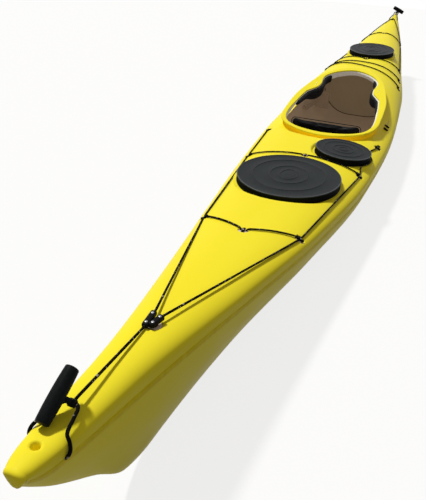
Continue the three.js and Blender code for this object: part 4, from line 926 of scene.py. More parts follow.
def deck_mesh():
    spots, rims = deck_grid()
    rings = recess_spots()
    outer = zone_of(rings[-1])
    features = deck_features()
    zones = [zone_of(feature[0]) for form, feature in features]
    holes = [zone_of(feature[-1]) for form, feature in features if form == "hole"]
    corners = [tuple(p) for p in np.vstack([grid_left(spots, outer, zones), dish_spots(outer, zones)])]
    edges, known = add_rings(corners, rings, features, zones)
    edges += rim_edges(corners, rims)
    output = delaunay_2d_cdt([Vector(c) for c in corners], edges, [], 0, mesh_steps.merged)
    flat = np.array([tuple(v) for v in output[0]])
    points = skin_point(flat[:, 0], flat[:, 1])
    for i, origins in enumerate(output[3]):
        for origin in origins:
            if origin in known:
                points[i] = known[origin]
    return points, deck_faces(flat, np.array(output[2]), zone_of(rings[0]), holes)


def make_deck():
    points, faces = deck_mesh()
    piece("deck_skin", points, faces, yellow, slot="deck_shell", nodes=["deck"])


# Hull skin, from the seam round the bottom, with the slot that the skeg drops through
hull_steps = Sizes(station=0.016, angles=26, turn=0.001, crown=24, slot=0.006, slot_rear=-1.59,
                   slot_front=-1.24)
lining = Sizes(rear=-2.08, front=2.2, step=0.04)


def hull_stations(low, high, step):
    count = round((high - low) / step)
    inner = [low + (high - low) * i / count for i in range(1, count)]
    return sorted({low, high, hull_steps.slot_rear, hull_steps.slot_front, *inner})


def hull_rows(section, inset):
    top = float(angle_at_drop(section, section.drop))
    angles = top * (np.arange(hull_steps.angles + 1) / hull_steps.angles)
    y, z = side_point(section, angles)
    ahead_y, ahead_z = side_point(section, np.minimum(angles + hull_steps.turn, math.pi / 2))
    behind_y, behind_z = side_point(section, np.maximum(angles - hull_steps.turn, 0))
    size = np.hypot(ahead_y - behind_y, ahead_z - behind_z)
    y = np.maximum(y - (ahead_z - behind_z) / size * inset, 0)
    z = z + (ahead_y - behind_y) / size * inset
    slot = min(hull_steps.slot, float(y[0]) / 2)
    return np.concatenate([[0, slot], y]), np.concatenate([z[:1], z[:1], z])


def in_skeg_slot(place):
    return hull_steps.slot_rear < place[0] < hull_steps.slot_front and abs(place[1]) < hull_steps.slot


def shell_mesh(stations, inset, slotted):
    rows = []
    for x in stations:
        y, z = hull_rows(section_at(x), inset)
        port = np.column_stack([np.full(len(y), x), y, z])
        rows.append(np.vstack([port[::-1] * [1, -1, 1], port[1:]]))
    points, faces = loft(rows, caps=False, around=False)
    if slotted:
        faces = [face for face in faces if not in_skeg_slot(points[list(face)].mean(axis=0))]
    return points, faces


def full_section(x):
    section = section_at(x)
    y, z = hull_rows(section, 0)
    t = np.sin(np.linspace(0, math.pi / 2, hull_steps.crown))[::-1]
    top_z = section.sheer + (section.ridge - section.sheer) * (1 - t ** crown_power) ** crown_edge_share
    port = np.column_stack([np.concatenate([y, section.half * t]), np.concatenate([z, top_z])])
    return np.vstack([port, port[-2:0:-1] * [-1, 1]])


def end_cap(end):
    x = end * skin_end
    ring = full_section(x)
    low, high = ring[:, 1].min(), ring[:, 1].max()
    centre = np.array([0, low + (high - low) * nose_cap.centre_share])
    rings = []
    for size, reach in cap_shares:
        around = centre + (ring - centre) * size
        rings.append(np.column_stack([np.full(len(around), x + end * reach * nose_cap.reach), around]))
    return loft(rings)


def make_hull():
    skin = shell_mesh(hull_stations(-skin_end, skin_end, hull_steps.station), 0, True)
    solid("hull_skin", [skin, end_cap(1), end_cap(-1)], yellow, slot="hull_shell", nodes=["hull"])
    stations = hull_stations(lining.rear, lining.front, lining.step)
    solid("hull_inside", [shell_mesh(stations, hull.laminate, False)], interior, slot="hull_shell")


# Underside of the deck, a laminate's thickness under it
underside = Sizes(rear=-2.0, front=2.1, step=0.02, rows=44)


def make_underside():
    count = round((underside.front - underside.rear) / underside.step)
    across = 2 * underside.rows + 1
    rows = []
    for x in np.linspace(underside.rear, underside.front, count):
        half = float(section_at(x).half)
        row = skin_point(np.full(across, x), np.linspace(-half * math.pi / 2, half * math.pi / 2, across))
        rows.append(row * [1, 1 - hull.laminate / half, 1] - [0, 0, hull.laminate])
    points, faces = loft(rows, caps=False, around=False)
    middle = points[np.array(faces)].mean(axis=1)
    allowed = lip_distance(middle[:, 0], middle[:, 1]) > 0
    for h in hatches.values():
        allowed &= hatch_distance(h, middle[:, 0], middle[:, 1]) > 0
    piece("deck_underside", points, [f for f, a in zip(faces, allowed) if a], interior, slot="deck_shell")


make_deck()
make_hull()
make_underside()


def plastic(name, parts, nodes, body="boat"):
    solid(name, parts, black_plastic, body=body, slot="black_plastic", nodes=nodes)


# Hatches: rims under the deck's seats, and rubber lids with rings
lid_segments = 144
lid_rows = Sizes(skirt=8, lip_low=11, lip_high=13)
ring_place_shares = [0.7, 0.37, 0.17]
ring_profile = [(-0.0032, -0.0015), (-0.002, -0.0012), (-0.0009, -0.0003), (0, 0.0001),
                (0.0009, -0.0003), (0.002, -0.0012), (0.0032, -0.0015)]
boss_profile = [(0.12, -0.0014), (0.3, -0.0012), (0.6, -0.001)]
lid_skirt_profile = [(0.005, -0.0052), (0.005, -0.0243), (0.0044, -0.025), (0.0008, -0.025),
                     (0, -0.0243), (0.0002, -0.0172), (0.001, -0.0154), (0.001, -0.0078),
                     (0.0003, -0.0056), (-0.0006, -0.0046), (-0.0009, -0.003), (-0.0003, -0.0012),
                     (0.0012, -0.0003), (0.003, 0), (0.0046, -0.0002), (0.0058, -0.0009),
                     (0.0074, -0.0014)]
rim_profile = [(0.0105, -0.0297), (0, -0.0297), (-0.0006, -0.0291), (-0.0006, -0.0273), (0, -0.0267),
               (0.0048, -0.0267), (0.0055, -0.026), (0.0055, -0.0061), (0.0061, -0.0055),
               (0.0099, -0.0055), (0.0105, -0.0061), (0.0105, -0.029)]


def oval_body(h, profile, caps=True):
    rings = []
    for inset, z in profile:
        outline = ellipse(h.long - inset, h.wide - inset, lid_segments)
        rings.append(placed(hatch_frame(h), np.column_stack([outline, np.full(lid_segments, z)])))
    return loft(rings, caps=caps)


def lid_profile(h):
    profile = list(lid_skirt_profile)
    for share in ring_place_shares:
        profile += [(h.wide * (1 - share) + reach, z) for reach, z in ring_profile]
    last = profile[-1][0]
    return profile + [(last + (h.wide - last) * reach, z) for reach, z in boss_profile]


def rim_body(h):
    points, faces = oval_body(h, rim_profile, caps=False)
    last = (len(rim_profile) - 1) * lid_segments
    return points, faces + [(last + i, last + (i + 1) % lid_segments, (i + 1) % lid_segments, i)
                            for i in range(lid_segments)]


# The skirt is painted darker than the lid's top as painted shade, and a pale line of painted highlight
# runs round its lip
def paint_lid(lid):
    for polygon in lid.data.polygons:
        row = min(polygon.vertices) // lid_segments
        if len(polygon.vertices) == 4 and row < lid_rows.skirt:
            polygon.material_index = 2
        elif len(polygon.vertices) == 4 and lid_rows.lip_low <= row < lid_rows.lip_high:
            polygon.material_index = 1


def make_hatches():
    for name, h in hatches.items():
        plastic(f"{name}_rim", [rim_body(h)], [f"{name}_hatch_rim"])
        lid = solid(f"{name}_lid", [oval_body(h, lid_profile(h))], [lid_rubber, lid_painted_highlight, skirt_painted_shade],
                    body=f"lid_{name}", slot="lid_rubber", nodes=[f"{name}_hatch_lid"])
        paint_lid(lid)


make_hatches()


# Coaming: a lip with rolled edges on a riser, whose inside is bare laminate; the riser's outside and the
# band inside carry painted glow
lip_edge_profile = [(-0.0132, -0.007), (-0.006, -0.0071), (-0.0026, -0.0078), (-0.001, -0.0076),
                    (0, -0.0064), (0.0002, -0.0046), (-0.0002, -0.0026), (-0.0012, -0.001),
                    (-0.003, -0.0001), (-0.0055, 0.0003), (-0.009, 0.0001)]
opening_edge_profile = [(0.0085, 0), (0.005, 0), (0.0028, -0.0003), (0.001, -0.0012), (0, -0.0028),
                        (0, -0.0052), (0.001, -0.0068), (0.003, -0.007)]
band = Sizes(foot=0.041, flange=0.006, port_flange=0.0015, flange_turn=0.1, flange_low=0.0125,
             flange_high=0.0076, flange_share=0.5, tuck=0.002, tuck_low=0.0069, spread=0.0015,
             foot_spread=0.004, top=0.0075, fillet=0.007, proud=0.0004, buried=0.002, steps=6,
             screw=0.0034, screw_rise=0.001)
brace_screw_places = [(0.625, 0.168), (0.598, 0.166)]
brace_screw_shares = [(0.96, -1), (1, 0.4), (0.8, 1.1), (0.3, 1.4), (0.26, 0.8)]
riser_shares = [0.3, 0.6]
band_shares = [0.25, 0.5, 0.75, 1]
screw_around = 20


def cockpit_ring(outline, distance, z):
    ring = grown(outline, distance) if distance else outline
    return placed(cockpit_frame, np.column_stack([ring, np.full(len(ring), z)]))


# The riser's foot follows the deck's recess, with a fillet
def riser_rings():
    outline = grown(lip_outline, -cockpit.riser_inset)
    rings = [cockpit_ring(outline, 0, -band.top)]
    straight = cockpit.recess - band.fillet - band.top
    rings += [cockpit_ring(outline, 0, -band.top - share * straight) for share in riser_shares]
    for k in range(band.steps + 1):
        angle = math.pi / 2 * k / band.steps
        out = band.fillet * (1 - math.cos(angle))
        z = -cockpit.recess + band.fillet * (1 - math.sin(angle))
        rings.append(cockpit_ring(outline, out, z + band.proud))
    rings.append(cockpit_ring(outline, band.fillet, -cockpit.recess - band.buried))
    return rings


# The pale flange shows along the starboard side and hardly along the port one
def flange_ring(share, z):
    wide = np.array(cockpit_ring(opening_outline, -band.flange * share, z))
    narrow = np.array(cockpit_ring(opening_outline, -band.port_flange * share, z))
    port = np.clip(narrow[:, 1:2] / band.flange_turn + 0.5, 0, 1)
    return narrow * port + wide * (1 - port)


def make_lip():
    rings = riser_rings()[::-1]
    riser = len(rings) * outline_count
    rings += [cockpit_ring(lip_outline, distance, z) for distance, z in lip_edge_profile]
    rings += [cockpit_ring(opening_outline, distance, z) for distance, z in opening_edge_profile]
    lip = solid("coaming_lip", [loft(rings, caps=False)], [yellow, riser_painted_light], slot="coaming_shell",
                nodes=["coaming"])
    # Riser faces take the painted orange glow, the lip's top the plain yellow
    for polygon in lip.data.polygons:
        polygon.material_index = int(max(polygon.vertices) < riser)


def make_band():
    inner = grown(lip_outline, -cockpit.riser_inset - cockpit.riser_wall)
    rings = [cockpit_ring(opening_outline, band.tuck, -band.tuck_low),
             flange_ring(band.flange_share, -band.flange_high),
             flange_ring(1, -band.flange_low), cockpit_ring(opening_outline, 0, -band.flange_low),
             cockpit_ring(inner, 0, -band.flange_low)]
    for share in band_shares:
        low = band.flange_low + share * (band.foot - band.flange_low)
        rings.append(cockpit_ring(inner, band.spread * share, -low))
    rings.append(cockpit_ring(inner, band.foot_spread, -band.foot))
    points, faces = loft(rings, caps=False)
    piece("coaming_band", points, faces, pale_laminate, slot="coaming_shell")


# Screw heads of the thigh braces
def make_brace_screws():
    profile = [(band.screw * out, band.screw_rise * up) for out, up in brace_screw_shares]
    heads = [turned(profile, cockpit_frame @ Matrix.Translation((x, side * y, 0)), screw_around)
             for side in (1, -1) for x, y in brace_screw_places]
    solid("brace_screws", heads, steel, slot="coaming_shell")


make_lip()
make_band()
make_brace_screws()


# Deck lines: taut through their fittings, close over the deck between them
line = Sizes(radius=0.003, cad_radius=0.0025, clearance=0.0016, spacing=0.16, cross_spacing=0.036,
             post_play=0.0012, per_span=7, around=12, keep=0.0006, pocket_share=1.7, steep_share=0.5)
hatch_pass_shares = [(-0.62, 0.74), (-0.34, 0.885), (0, 0.945), (0.34, 0.885), (0.62, 0.74)]
dip_shares = [(1.44, 0.17), (1.12, 0.165), (0.8, 0.1), (0.5, -0.28), (0.26, -0.47)]
dip_lowest_share = -0.517
tie_shares = [(1.44, 0.18), (1.12, 0.18), (0.88, 0.12)]
tie_end_share = 0.06
wrap_angles = [-1.5, -1, -0.5, 0, 0.5, 1, 1.5]


def on_deck(x, y):
    lift = line.radius + line.clearance
    return Vector((x, y, float(skin_height(np.array([x]), np.array([y]))[0]))) + deck_normal(x, y) * lift


def middle_of(name):
    return fitting_frame(fitting_places[name]).translation


def fitting_point(name, towards, reach_share, height_share, aside=0):
    here = fitting_frame(fitting_places[name])
    direction = here.inverted() @ towards
    direction = Vector((direction.x, direction.y, 0)).normalized()
    across = Vector((-direction.y, direction.x, 0))
    place = direction * (reach_share * fitting.pocket) + across * aside
    return here @ Vector((place.x, place.y, height_share * fitting.pocket))


def pass_under(name, before, after):
    here = fitting_frame(fitting_places[name])
    lowest = here @ Vector((0, 0, dip_lowest_share * fitting.pocket))
    dips = [[fitting_point(name, towards, *share) for share in dip_shares] for towards in (before, after)]
    return dips[0] + [lowest] + dips[1][::-1]


def tie_to(name, other):
    toward = other - middle_of(name)
    end = (fitting.bar if abs(toward.y) > abs(toward.x) else fitting.width) / 2 - line.cad_radius
    points = [fitting_point(name, other, *share) for share in tie_shares]
    return points + [fitting_point(name, other, end / fitting.pocket, tie_end_share)]


def wrap_round(name, before, after):
    here = fitting_frame(fitting_places[name])
    ways = []
    for point in (before, after):
        flat = here.inverted() @ point
        ways.append(Vector((flat.x, flat.y, 0)).normalized())
    away = -(ways[0] + ways[1]).normalized()
    turn = math.copysign(1, ways[0].cross(away).z)
    radius = fitting.post + line.radius + line.post_play
    reach_share, height_share = dip_shares[0]
    rounds = []
    for angle in wrap_angles:
        spot = Matrix.Rotation(turn * angle, 3, "Z") @ away * radius
        rounds.append(here @ Vector((spot.x, spot.y, height_share * fitting.pocket)))
    return [fitting_point(name, before, reach_share, height_share, turn * radius), *rounds,
            fitting_point(name, after, reach_share, height_share, -turn * radius)]


def beside_hatches(x, y):
    for h in hatches.values():
        along = (x - h.x) / (h.long + hatch.clearance)
        reach = (h.wide + hatch.clearance) * math.sqrt(max(1 - along * along, 0))
        if abs(y - h.y) < reach:
            y = h.y + math.copysign(reach, y - h.y)
    return y


def stretch(start, end):
    count = math.ceil(max((end - start).length / line.spacing, abs(end.y - start.y) / line.cross_spacing))
    points = []
    for i in range(1, count):
        straight = start.lerp(end, i / count)
        lying = on_deck(straight.x, beside_hatches(straight.x, straight.y))
        points.append(straight if straight.z > lying.z else lying)
    return points


def join_runs(parts):
    route = list(parts[0])
    for part in parts[1:]:
        route += stretch(route[-1], part[0]) + list(part)
    return route


def vee_block_frame(side):
    turn = vee.turn if side > 0 else vee.short_turn
    return deck_frame(vee.x, 0) @ Matrix.Rotation(turn, 4, "Z")


def vee_point(side, ahead):
    reach = vee.front if side > 0 else vee.short_front
    middle = vee.gap / 2 + vee.width / 2
    return vee_block_frame(side) @ Vector((reach + ahead, side * middle, vee.lift + vee.height / 2))


def round_day_hatch():
    h = hatches["day"]
    radius = h.long + hatch.clearance
    low = -hatch.seat + line.radius + line.clearance
    return [hatch_frame(h) @ Vector((along * radius, -out * radius, low))
            for along, out in hatch_pass_shares]


# The line keeps clear of the deck where its smooth curve would cut in
def laid(route, radius):
    smooth_line = curve_through(route, line.per_span)
    places = np.array([tuple(p) for p in smooth_line])
    height = skin_height(places[:, 0], places[:, 1])
    pockets = [(middle_of(name), fitting.pocket * line.pocket_share) for name in fitting_places]
    pockets.append((deck_frame(vee.x, 0).translation, vee.pocket * line.pocket_share))
    for i, place in enumerate(smooth_line):
        if all((place - middle).length > reach for middle, reach in pockets):
            steepness = max(deck_normal(place.x, place.y).z, line.steep_share)
            place.z = max(place.z, height[i] + (radius + line.keep) / steepness)
    return smooth_line


def make_line(name, course, finish=None, radius=line.radius):
    points, faces, uv = tube(course, radius, line.around)
    piece(f"{name}_braid", points, faces, finish or deck_cord, slot="line_cord", nodes=[name], uv=uv)


def lay_line(name, runs, finish=None):
    make_line(name, laid(join_runs(runs), line.radius), finish)


def make_side_lines():
    for word, side in sides.items():
        stern, aft, last = (f"{row}_fitting_{word}" for row in ("stern", "aft", "side"))
        past = round_day_hatch() if side < 0 else []
        beyond = past[0] if past else middle_of(last)
        before = past[-1] if past else middle_of(aft)
        lay_line(f"{word}_line_aft", [
            [vee_point(side, hatch.fit), vee_point(side, line.radius)],
            pass_under(stern, vee_point(side, 0), middle_of(aft)),
            pass_under(aft, middle_of(stern), beyond) + past, tie_to(last, before)])


def make_cross_lines():
    for row, name in (("stern", "stern"), ("aft", "aft"), ("foredeck", "fore"), ("bow", "bow")):
        port, centre, starboard = (f"{row}_fitting_{word}" for word in ("port", "centre", "starboard"))
        middle = middle_of(centre)
        lay_line(f"cross_line_{name}", [
            tie_to(port, middle)[::-1], pass_under(centre, middle_of(port), middle_of(starboard)),
            tie_to(starboard, middle)])


# A knot beside each bar where a line ends
knot = Sizes(scale=0.0024, cord=0.0024, reach_share=0.72, lift_share=0.2, steps=48)


def knot_parts(name, other):
    centre = fitting_point(name, other, knot.reach_share, knot.lift_share)
    here = fitting_frame(fitting_places[name])
    course = []
    for i in range(knot.steps):
        t = 2 * math.pi * i / knot.steps
        spot = Vector((math.sin(t) + 2 * math.sin(2 * t), math.cos(t) - 2 * math.cos(2 * t),
                       -math.sin(3 * t)))
        course.append(centre + here.to_3x3() @ spot * knot.scale)
    points, faces, uv = tube(course + course[:1], knot.cord, line.around)
    return points, faces


def make_knots():
    ends = [(f"{row}_fitting_{word}", f"{row}_fitting_centre")
            for row in ("stern", "aft", "foredeck", "bow") for word in sides]
    ends += [("side_fitting_port", "aft_fitting_port"), ("side_fitting_starboard", "elastic_fitting_rear"),
             ("elastic_fitting_starboard", "elastic_fitting_port"),
             ("elastic_fitting_rear", "elastic_fitting_port")]
    knots = [knot_parts(name, middle_of(other)) for name, other in ends]
    solid("line_knots", knots, toggle_plastic, slot="line_cord")


def make_bow_lines():
    stops = ["foredeck_fitting_port", "bow_fitting_port", "bow_junction", "bow_fitting_starboard",
             "foredeck_fitting_starboard"]
    spots = [middle_of(name) for name in stops]
    lay_line("bow_line", [
        tie_to(stops[0], spots[1])[::-1], pass_under(stops[1], spots[0], spots[2]),
        wrap_round(stops[2], spots[1], spots[3]), pass_under(stops[3], spots[2], spots[4]),
        tie_to(stops[4], spots[3])])


def make_elastic():
    first, post, last = (f"elastic_fitting_{word}" for word in ("starboard", "port", "rear"))
    lay_line("deck_elastic", [
        tie_to(first, middle_of(post))[::-1], wrap_round(post, middle_of(first), middle_of(last)),
        tie_to(last, middle_of(post))], elastic_cord)


def make_stern_line():
    start = from_end(stern_toggle, stern_toggle.knuckle_inset) + toggle.knuckle + 2 * hatch.fit
    lead = Vector((start + line.radius, stern_toggle.knuckle_y, stern_toggle.knuckle_z))
    middle = vee.gap / 2 + vee.width / 2
    ends = [vee_block_frame(1) @ Vector((-vee.rear - behind, middle, vee.lift + vee.height / 2))
            for behind in (line.radius, hatch.fit)]
    near = lead - Vector((line.radius, 0, 0))
    lay_line("stern_line", [[near, lead], ends])


# Toggles: a barrel and stem on a knuckle that turns on a loop of cord
toggle = Sizes(half=0.052, radius=0.014, end=0.0124, stem=0.0055, knuckle=0.0075, knuckle_width=0.014,
               loop_radius=0.0034, collar=0.0072, around=40)
stern_toggle = Sizes(end=-1, inset=0.138, y=0.013, z=0.418, axis=(0.912, 0, 0.41), knuckle_inset=0.15,
                     knuckle_y=-0.006, knuckle_z=0.397, length_share=1)
bow_toggle = Sizes(end=1, inset=0.046, y=-0.014, z=0.496, axis=(0.1, -0.9, -0.42), knuckle_inset=0.068,
                   knuckle_y=-0.006, knuckle_z=0.481, length_share=0.85)
stern_loop = [(0.098, 0.0305, 0.3875), (0.093, 0.0375, 0.377), (0.0895, 0.0405, 0.366),
              (0.087, 0.0385, 0.355), (0.0855, 0.034, 0.3475), (0.0845, 0.0285, 0.3435)]
bow_loop = [(0.09, 0.0155, 0.4625), (0.13, 0.021, 0.458), (0.164, 0.0285, 0.4476),
            (0.182, 0.031, 0.4415), (0.19, 0.0318, 0.434), (0.194, 0.0322, 0.4285)]
loop_rise_shares = [(0.12, 0.02), (0.5, 0.42)]
stem_share = Sizes(straight=0.35, neck=0.94, neck_at=0.5, collar_low=0.95, collar_high=0.2)
knuckle_share = Sizes(rim=0.14, end=0.5)
sideways_share = 0.9
barrel_shares = [(-1, 0.55), (-0.992, 0.84), (-0.975, 0.99), (-0.95, 1.04), (-0.8, 1.075), (-0.5, 1.13),
                 (-0.2, 1.155), (0.2, 1.155), (0.5, 1.13), (0.8, 1.075), (0.95, 1.04), (0.975, 0.99),
                 (0.992, 0.84), (1, 0.55)]


def from_end(t, inset):
    return t.end * (hull.length / 2 - inset)


def knuckle_of(t):
    return Vector((from_end(t, t.knuckle_inset), t.knuckle_y, t.knuckle_z))


def pointing(place, direction):
    sideways = abs(Vector(direction).normalized().y) > sideways_share
    up_hint = (1, 0, 0) if sideways else (0, 1, 0)
    return frame_along(place, direction, up_hint) @ Matrix.Rotation(math.pi / 2, 4, "Y")


def make_toggle(name, t):
    middle = Vector((from_end(t, t.inset), t.y, t.z))
    knuckle = knuckle_of(t)
    half = toggle.half * t.length_share
    barrel = turned([(toggle.end * r, half * z) for z, r in barrel_shares],
                    pointing(middle, t.axis), toggle.around)
    reach = (middle - knuckle).length
    stem = turned([(toggle.stem, 0), (toggle.stem, reach * stem_share.straight),
                   (toggle.stem * stem_share.neck, reach * stem_share.neck_at),
                   (toggle.collar, reach - toggle.radius * stem_share.collar_low),
                   (toggle.collar, reach - toggle.radius * stem_share.collar_high)],
                  pointing(knuckle, middle - knuckle), toggle.around // 2)
    block = rimmed_barrel(toggle.knuckle, toggle.knuckle_width / 2, toggle.knuckle * knuckle_share.rim,
                          knuckle_share.end, pointing(knuckle, (0, 1, 0)), toggle.around // 2)
    solid(f"{name}_grip", [barrel, stem, block], toggle_plastic, body=f"toggle_{name.split('_')[0]}",
          slot="black_plastic", nodes=[name])


def make_loop(name, t, side_points):
    knuckle = knuckle_of(t)
    places = [Vector((from_end(t, inset), y, z)) for inset, y, z in side_points]
    lead = toggle.knuckle_width / 2 + line.cad_radius
    runs = []
    for side in (1, -1):
        run_down = [Vector((p.x, side * p.y, p.z)) for p in places]
        start = knuckle + Vector((0, side * toggle.knuckle_width, 0))
        span = run_down[0] - start
        rise = [start + Vector((span.x * along, span.y * along, span.z * drop))
                for along, drop in loop_rise_shares]
        runs.append([knuckle + Vector((0, side * lead, 0)), *rise, *run_down])
    make_line(name, curve_through(runs[0][::-1] + runs[1], line.per_span), radius=toggle.loop_radius)


make_side_lines()
make_cross_lines()
make_knots()
make_bow_lines()
make_elastic()
make_stern_line()
make_toggle("stern_toggle", stern_toggle)
make_toggle("bow_toggle", bow_toggle)
make_loop("stern_toggle_loop", stern_toggle, stern_loop)
make_loop("bow_toggle_loop", bow_toggle, bow_loop)


# Fittings: a bar on two legs and a foot plate, or a capped post, each held by a steel screw
fit_look = Sizes(corner=0.003, screw=0.0026, screw_rise=0.0008, plate=0.0022, leg_wide=0.0066,
                 leg_corner=0.001, around=28, leg_around=16, plate_around=32, post_around=36)
screw_shares = [(0.98, -1), (1, 0), (0.93, 0.55), (0.72, 1), (0.34, 1.05), (0.3, 0.2)]
plate_shares = [(1.04, 0), (1.06, 0.5), (1, 1), (0.5, 1)]
post_foot_shares = [(1, 0), (1, 0.7), (0.9, 1)]
post_low_shares = [(1.25, 1), (1, 1.6)]
post_high_shares = [(1, -0.25), (1.15, 0)]
post_cap_shares = [(0.95, 0), (1, 0.3), (0.97, 0.7), (0.85, 1), (0.4, 1.15)]


def lifted(x, y, z):
    return Matrix.Translation((x, y, z))


def screw_head(matrix, x, y, z, radius=fit_look.screw):
    profile = [(radius * out, fit_look.screw_rise * up) for out, up in screw_shares]
    return turned(profile, matrix @ lifted(x, y, z), screw_around)


def bar_parts(here):
    size = (fitting.bar, fitting.width, fitting.top + fitting.bottom)
    bar = here @ lifted(0, 0, (fitting.top - fitting.bottom) / 2)
    low = -fitting.depth + hatch.fit
    deep = -fitting.bottom - low + fit_look.corner
    parts = [rounded_block(size, fit_look.corner, bar, fit_look.around)]
    for side in (1, -1):
        x = side * (fitting.leg_reach - fitting.leg / 2)
        spot = here @ lifted(x, 0, low + deep / 2) @ Matrix.Rotation(math.pi / 2, 4, "Y")
        parts.append(rounded_block((deep, fit_look.leg_wide, fitting.leg), fit_look.leg_corner, spot,
                                   fit_look.leg_around))
    plate = [(fitting.leg_reach * out, low + fit_look.plate * up) for out, up in plate_shares]
    return parts + [turned(plate, here, fit_look.plate_around)]


def post_parts(here):
    low = -fitting.depth + hatch.fit
    neck = fitting.post_top - fitting.cap
    profile = []
    for radius, start, rise, shares in ((fitting.leg_reach, low, fitting.foot, post_foot_shares),
                                        (fitting.post, low, fitting.foot, post_low_shares),
                                        (fitting.post, neck, fitting.cap, post_high_shares),
                                        (fitting.post_cap, neck, fitting.cap, post_cap_shares)):
        profile += [(radius * out, start + rise * up) for out, up in shares]
    return [turned(profile, here, fit_look.post_around)]


def make_fittings():
    for name, place in fitting_places.items():
        here = fitting_frame(place)
        if place.form == "edge":
            here = here @ Matrix.Rotation(math.pi / 2, 4, "Z")
        post = place.form == "post"
        plastic(f"{name}_bar", post_parts(here) if post else bar_parts(here), [name])
        head = screw_head(here, 0, 0, fitting.post_top if post else fitting.top)
        solid(f"{name}_screw", [head], steel, slot="black_plastic")


# Two blocks on a base in a round recess, each with two screws
vee_look = Sizes(corner=0.0045, around=28, base_round=40, base_low=0.002, base_high=0.003,
                 shoulder=0.0032, bevel=0.001, step=0.003, neck=0.003, bridge=(0.022, 0.03, 0.0065),
                 bridge_z=0.00675, bridge_corner=0.002, bridge_around=24, screw=0.0036)
vee_screw_places = {1: (-0.017, 0.017), -1: (-0.011, 0.013)}


def vee_part(side):
    rear, front = (vee.rear, vee.front) if side > 0 else (vee.short_rear, vee.short_front)
    middle = lifted((front - rear) / 2, side * (vee.gap / 2 + vee.width / 2), vee.lift + vee.height / 2)
    return rounded_block((front + rear, vee.width, vee.height), vee_look.corner,
                         vee_block_frame(side) @ middle, vee_look.around)


def make_vee():
    here = deck_frame(vee.x, 0)
    low = -vee.depth + hatch.fit
    base = [(vee.foot, low), (vee.foot, low + vee_look.base_low),
            (vee.foot - vee_look.bevel, low + vee_look.base_high),
            (vee.foot - vee_look.step, low + vee_look.shoulder),
            (vee.foot - vee_look.step, vee.lift + vee_look.neck)]
    bridge = rounded_block(vee_look.bridge, vee_look.bridge_corner, here @ lifted(0, 0, vee_look.bridge_z),
                           vee_look.bridge_around)
    parts = [vee_part(1), vee_part(-1), turned(base, here, vee_look.base_round), bridge]
    plastic("vee_blocks", parts, ["vee_fitting"])
    heads = [screw_head(vee_block_frame(side), x, side * (vee.gap + vee.width) / 2, vee.lift + vee.height,
                        vee_look.screw) for side, spots in vee_screw_places.items() for x in spots]
    solid("vee_screws", heads, steel, slot="black_plastic")


# Skeg control: a fixed bar and a knob on a stem in the deck's slot
def slider_body(here, stem, stem_z, corner):
    middle = slider.lift + slider.height / 2
    bar = (slider.width, 2 * slider_half, slider.height)
    return [rounded_block(bar, slider.corner, here @ lifted(0, 0, middle), high_around),
            rounded_block(stem, corner, here @ lifted(0, 0, stem_z), low_around)]


def make_slider():
    middle = slider.lift + slider.height / 2
    foot = (slider.width, 2 * slider.foot_half_share * slider_half, middle + 2 * slider.foot)
    guide = slider_body(deck_frame(slider.rear_x, slider_y), foot, middle / 2 - slider.foot, slider.foot)
    plastic("skeg_guide", guide, ["skeg_slider_guide"])
    deep = slider.stem_depth + middle
    stem = (slider.stem, slider.slot - 2 * hatch.fit, deep)
    knob = slider_body(slider_frame(), stem, middle - deep / 2, slider.stem_corner)
    plastic("skeg_knob_bar", knob, ["skeg_slider_knob"], "skeg_knob")


make_fittings()
make_vee()
make_slider()


# Seat: a moulded bucket with a back wall, two cheeks and a low ridge between the thighs
seat = Sizes(rear=-0.235, front=0.125, half=0.178, wall=0.006, pan=0.034, back=0.208, dish=0.022,
             rows=36, around=48, rise_power=1.5, section_power=3.6, ridge=0.012, ridge_wide=0.032,
             ridge_gain=3, ridge_from_share=0.45, plate_share=0.985)


def seat_curve(x, share, inset):
    floor = hull.laminate + hatch.fit
    high = seat.back + (seat.pan + seat.wall - seat.back) * share ** seat.rise_power
    low = floor + (seat.pan - seat.dish * math.sin(math.pi * share) if inset else seat.wall / 2)
    low = low if inset else min(low, high - seat.wall)
    angles = np.linspace(-math.pi / 2, math.pi / 2, seat.around + 1)
    across = np.sign(angles) * np.abs(np.sin(angles)) ** (2 / seat.section_power)
    rise = 1 - np.cos(angles) ** (2 / seat.section_power)
    y = (seat.half - inset) * across
    z = low + (high - low) * rise
    if inset:
        gain = max(share - seat.ridge_from_share, 0) ** 2 * seat.ridge_gain
        z = z + np.minimum(seat.ridge * gain, high - low) * np.exp(-(y / seat.ridge_wide) ** 2)
    return np.column_stack([np.full(len(y), x), y, z])


def make_seat():
    rings = []
    for share in np.linspace(0, 1, seat.rows + 1):
        x = seat.rear + (seat.front - seat.rear) * share
        outer = seat_curve(x, share, 0)
        inner = seat_curve(max(x, seat.rear + seat.wall), share, seat.wall)
        rings.append(np.vstack([outer, inner[::-1]]))
    back = seat_curve(seat.rear, 0, 0)
    edge = back * [1, seat.plate_share, 1]
    plate = loft([edge, back, back + [seat.wall, 0, 0], edge + [seat.wall, 0, 0]])
    solid("seat_bucket", [loft(rings), plate], seat_laminate, slot="grey_laminate", nodes=["seat"])


# Pads: a closed form is remeshed, swollen a little under pressure, and smoothed
pad_steps = Sizes(voxel=0.005, pressure=4, mass=0.3, frames=20, around=48)


def baked(obj):
    graph = bpy.context.evaluated_depsgraph_get()
    mesh = bpy.data.meshes.new_from_object(obj.evaluated_get(graph))
    obj.modifiers.clear()
    old = obj.data
    obj.data = mesh
    bpy.data.meshes.remove(old)


def vertex_array(mesh):
    flat = np.empty(3 * len(mesh.vertices))
    mesh.vertices.foreach_get("co", flat)
    return flat.reshape(-1, 3)


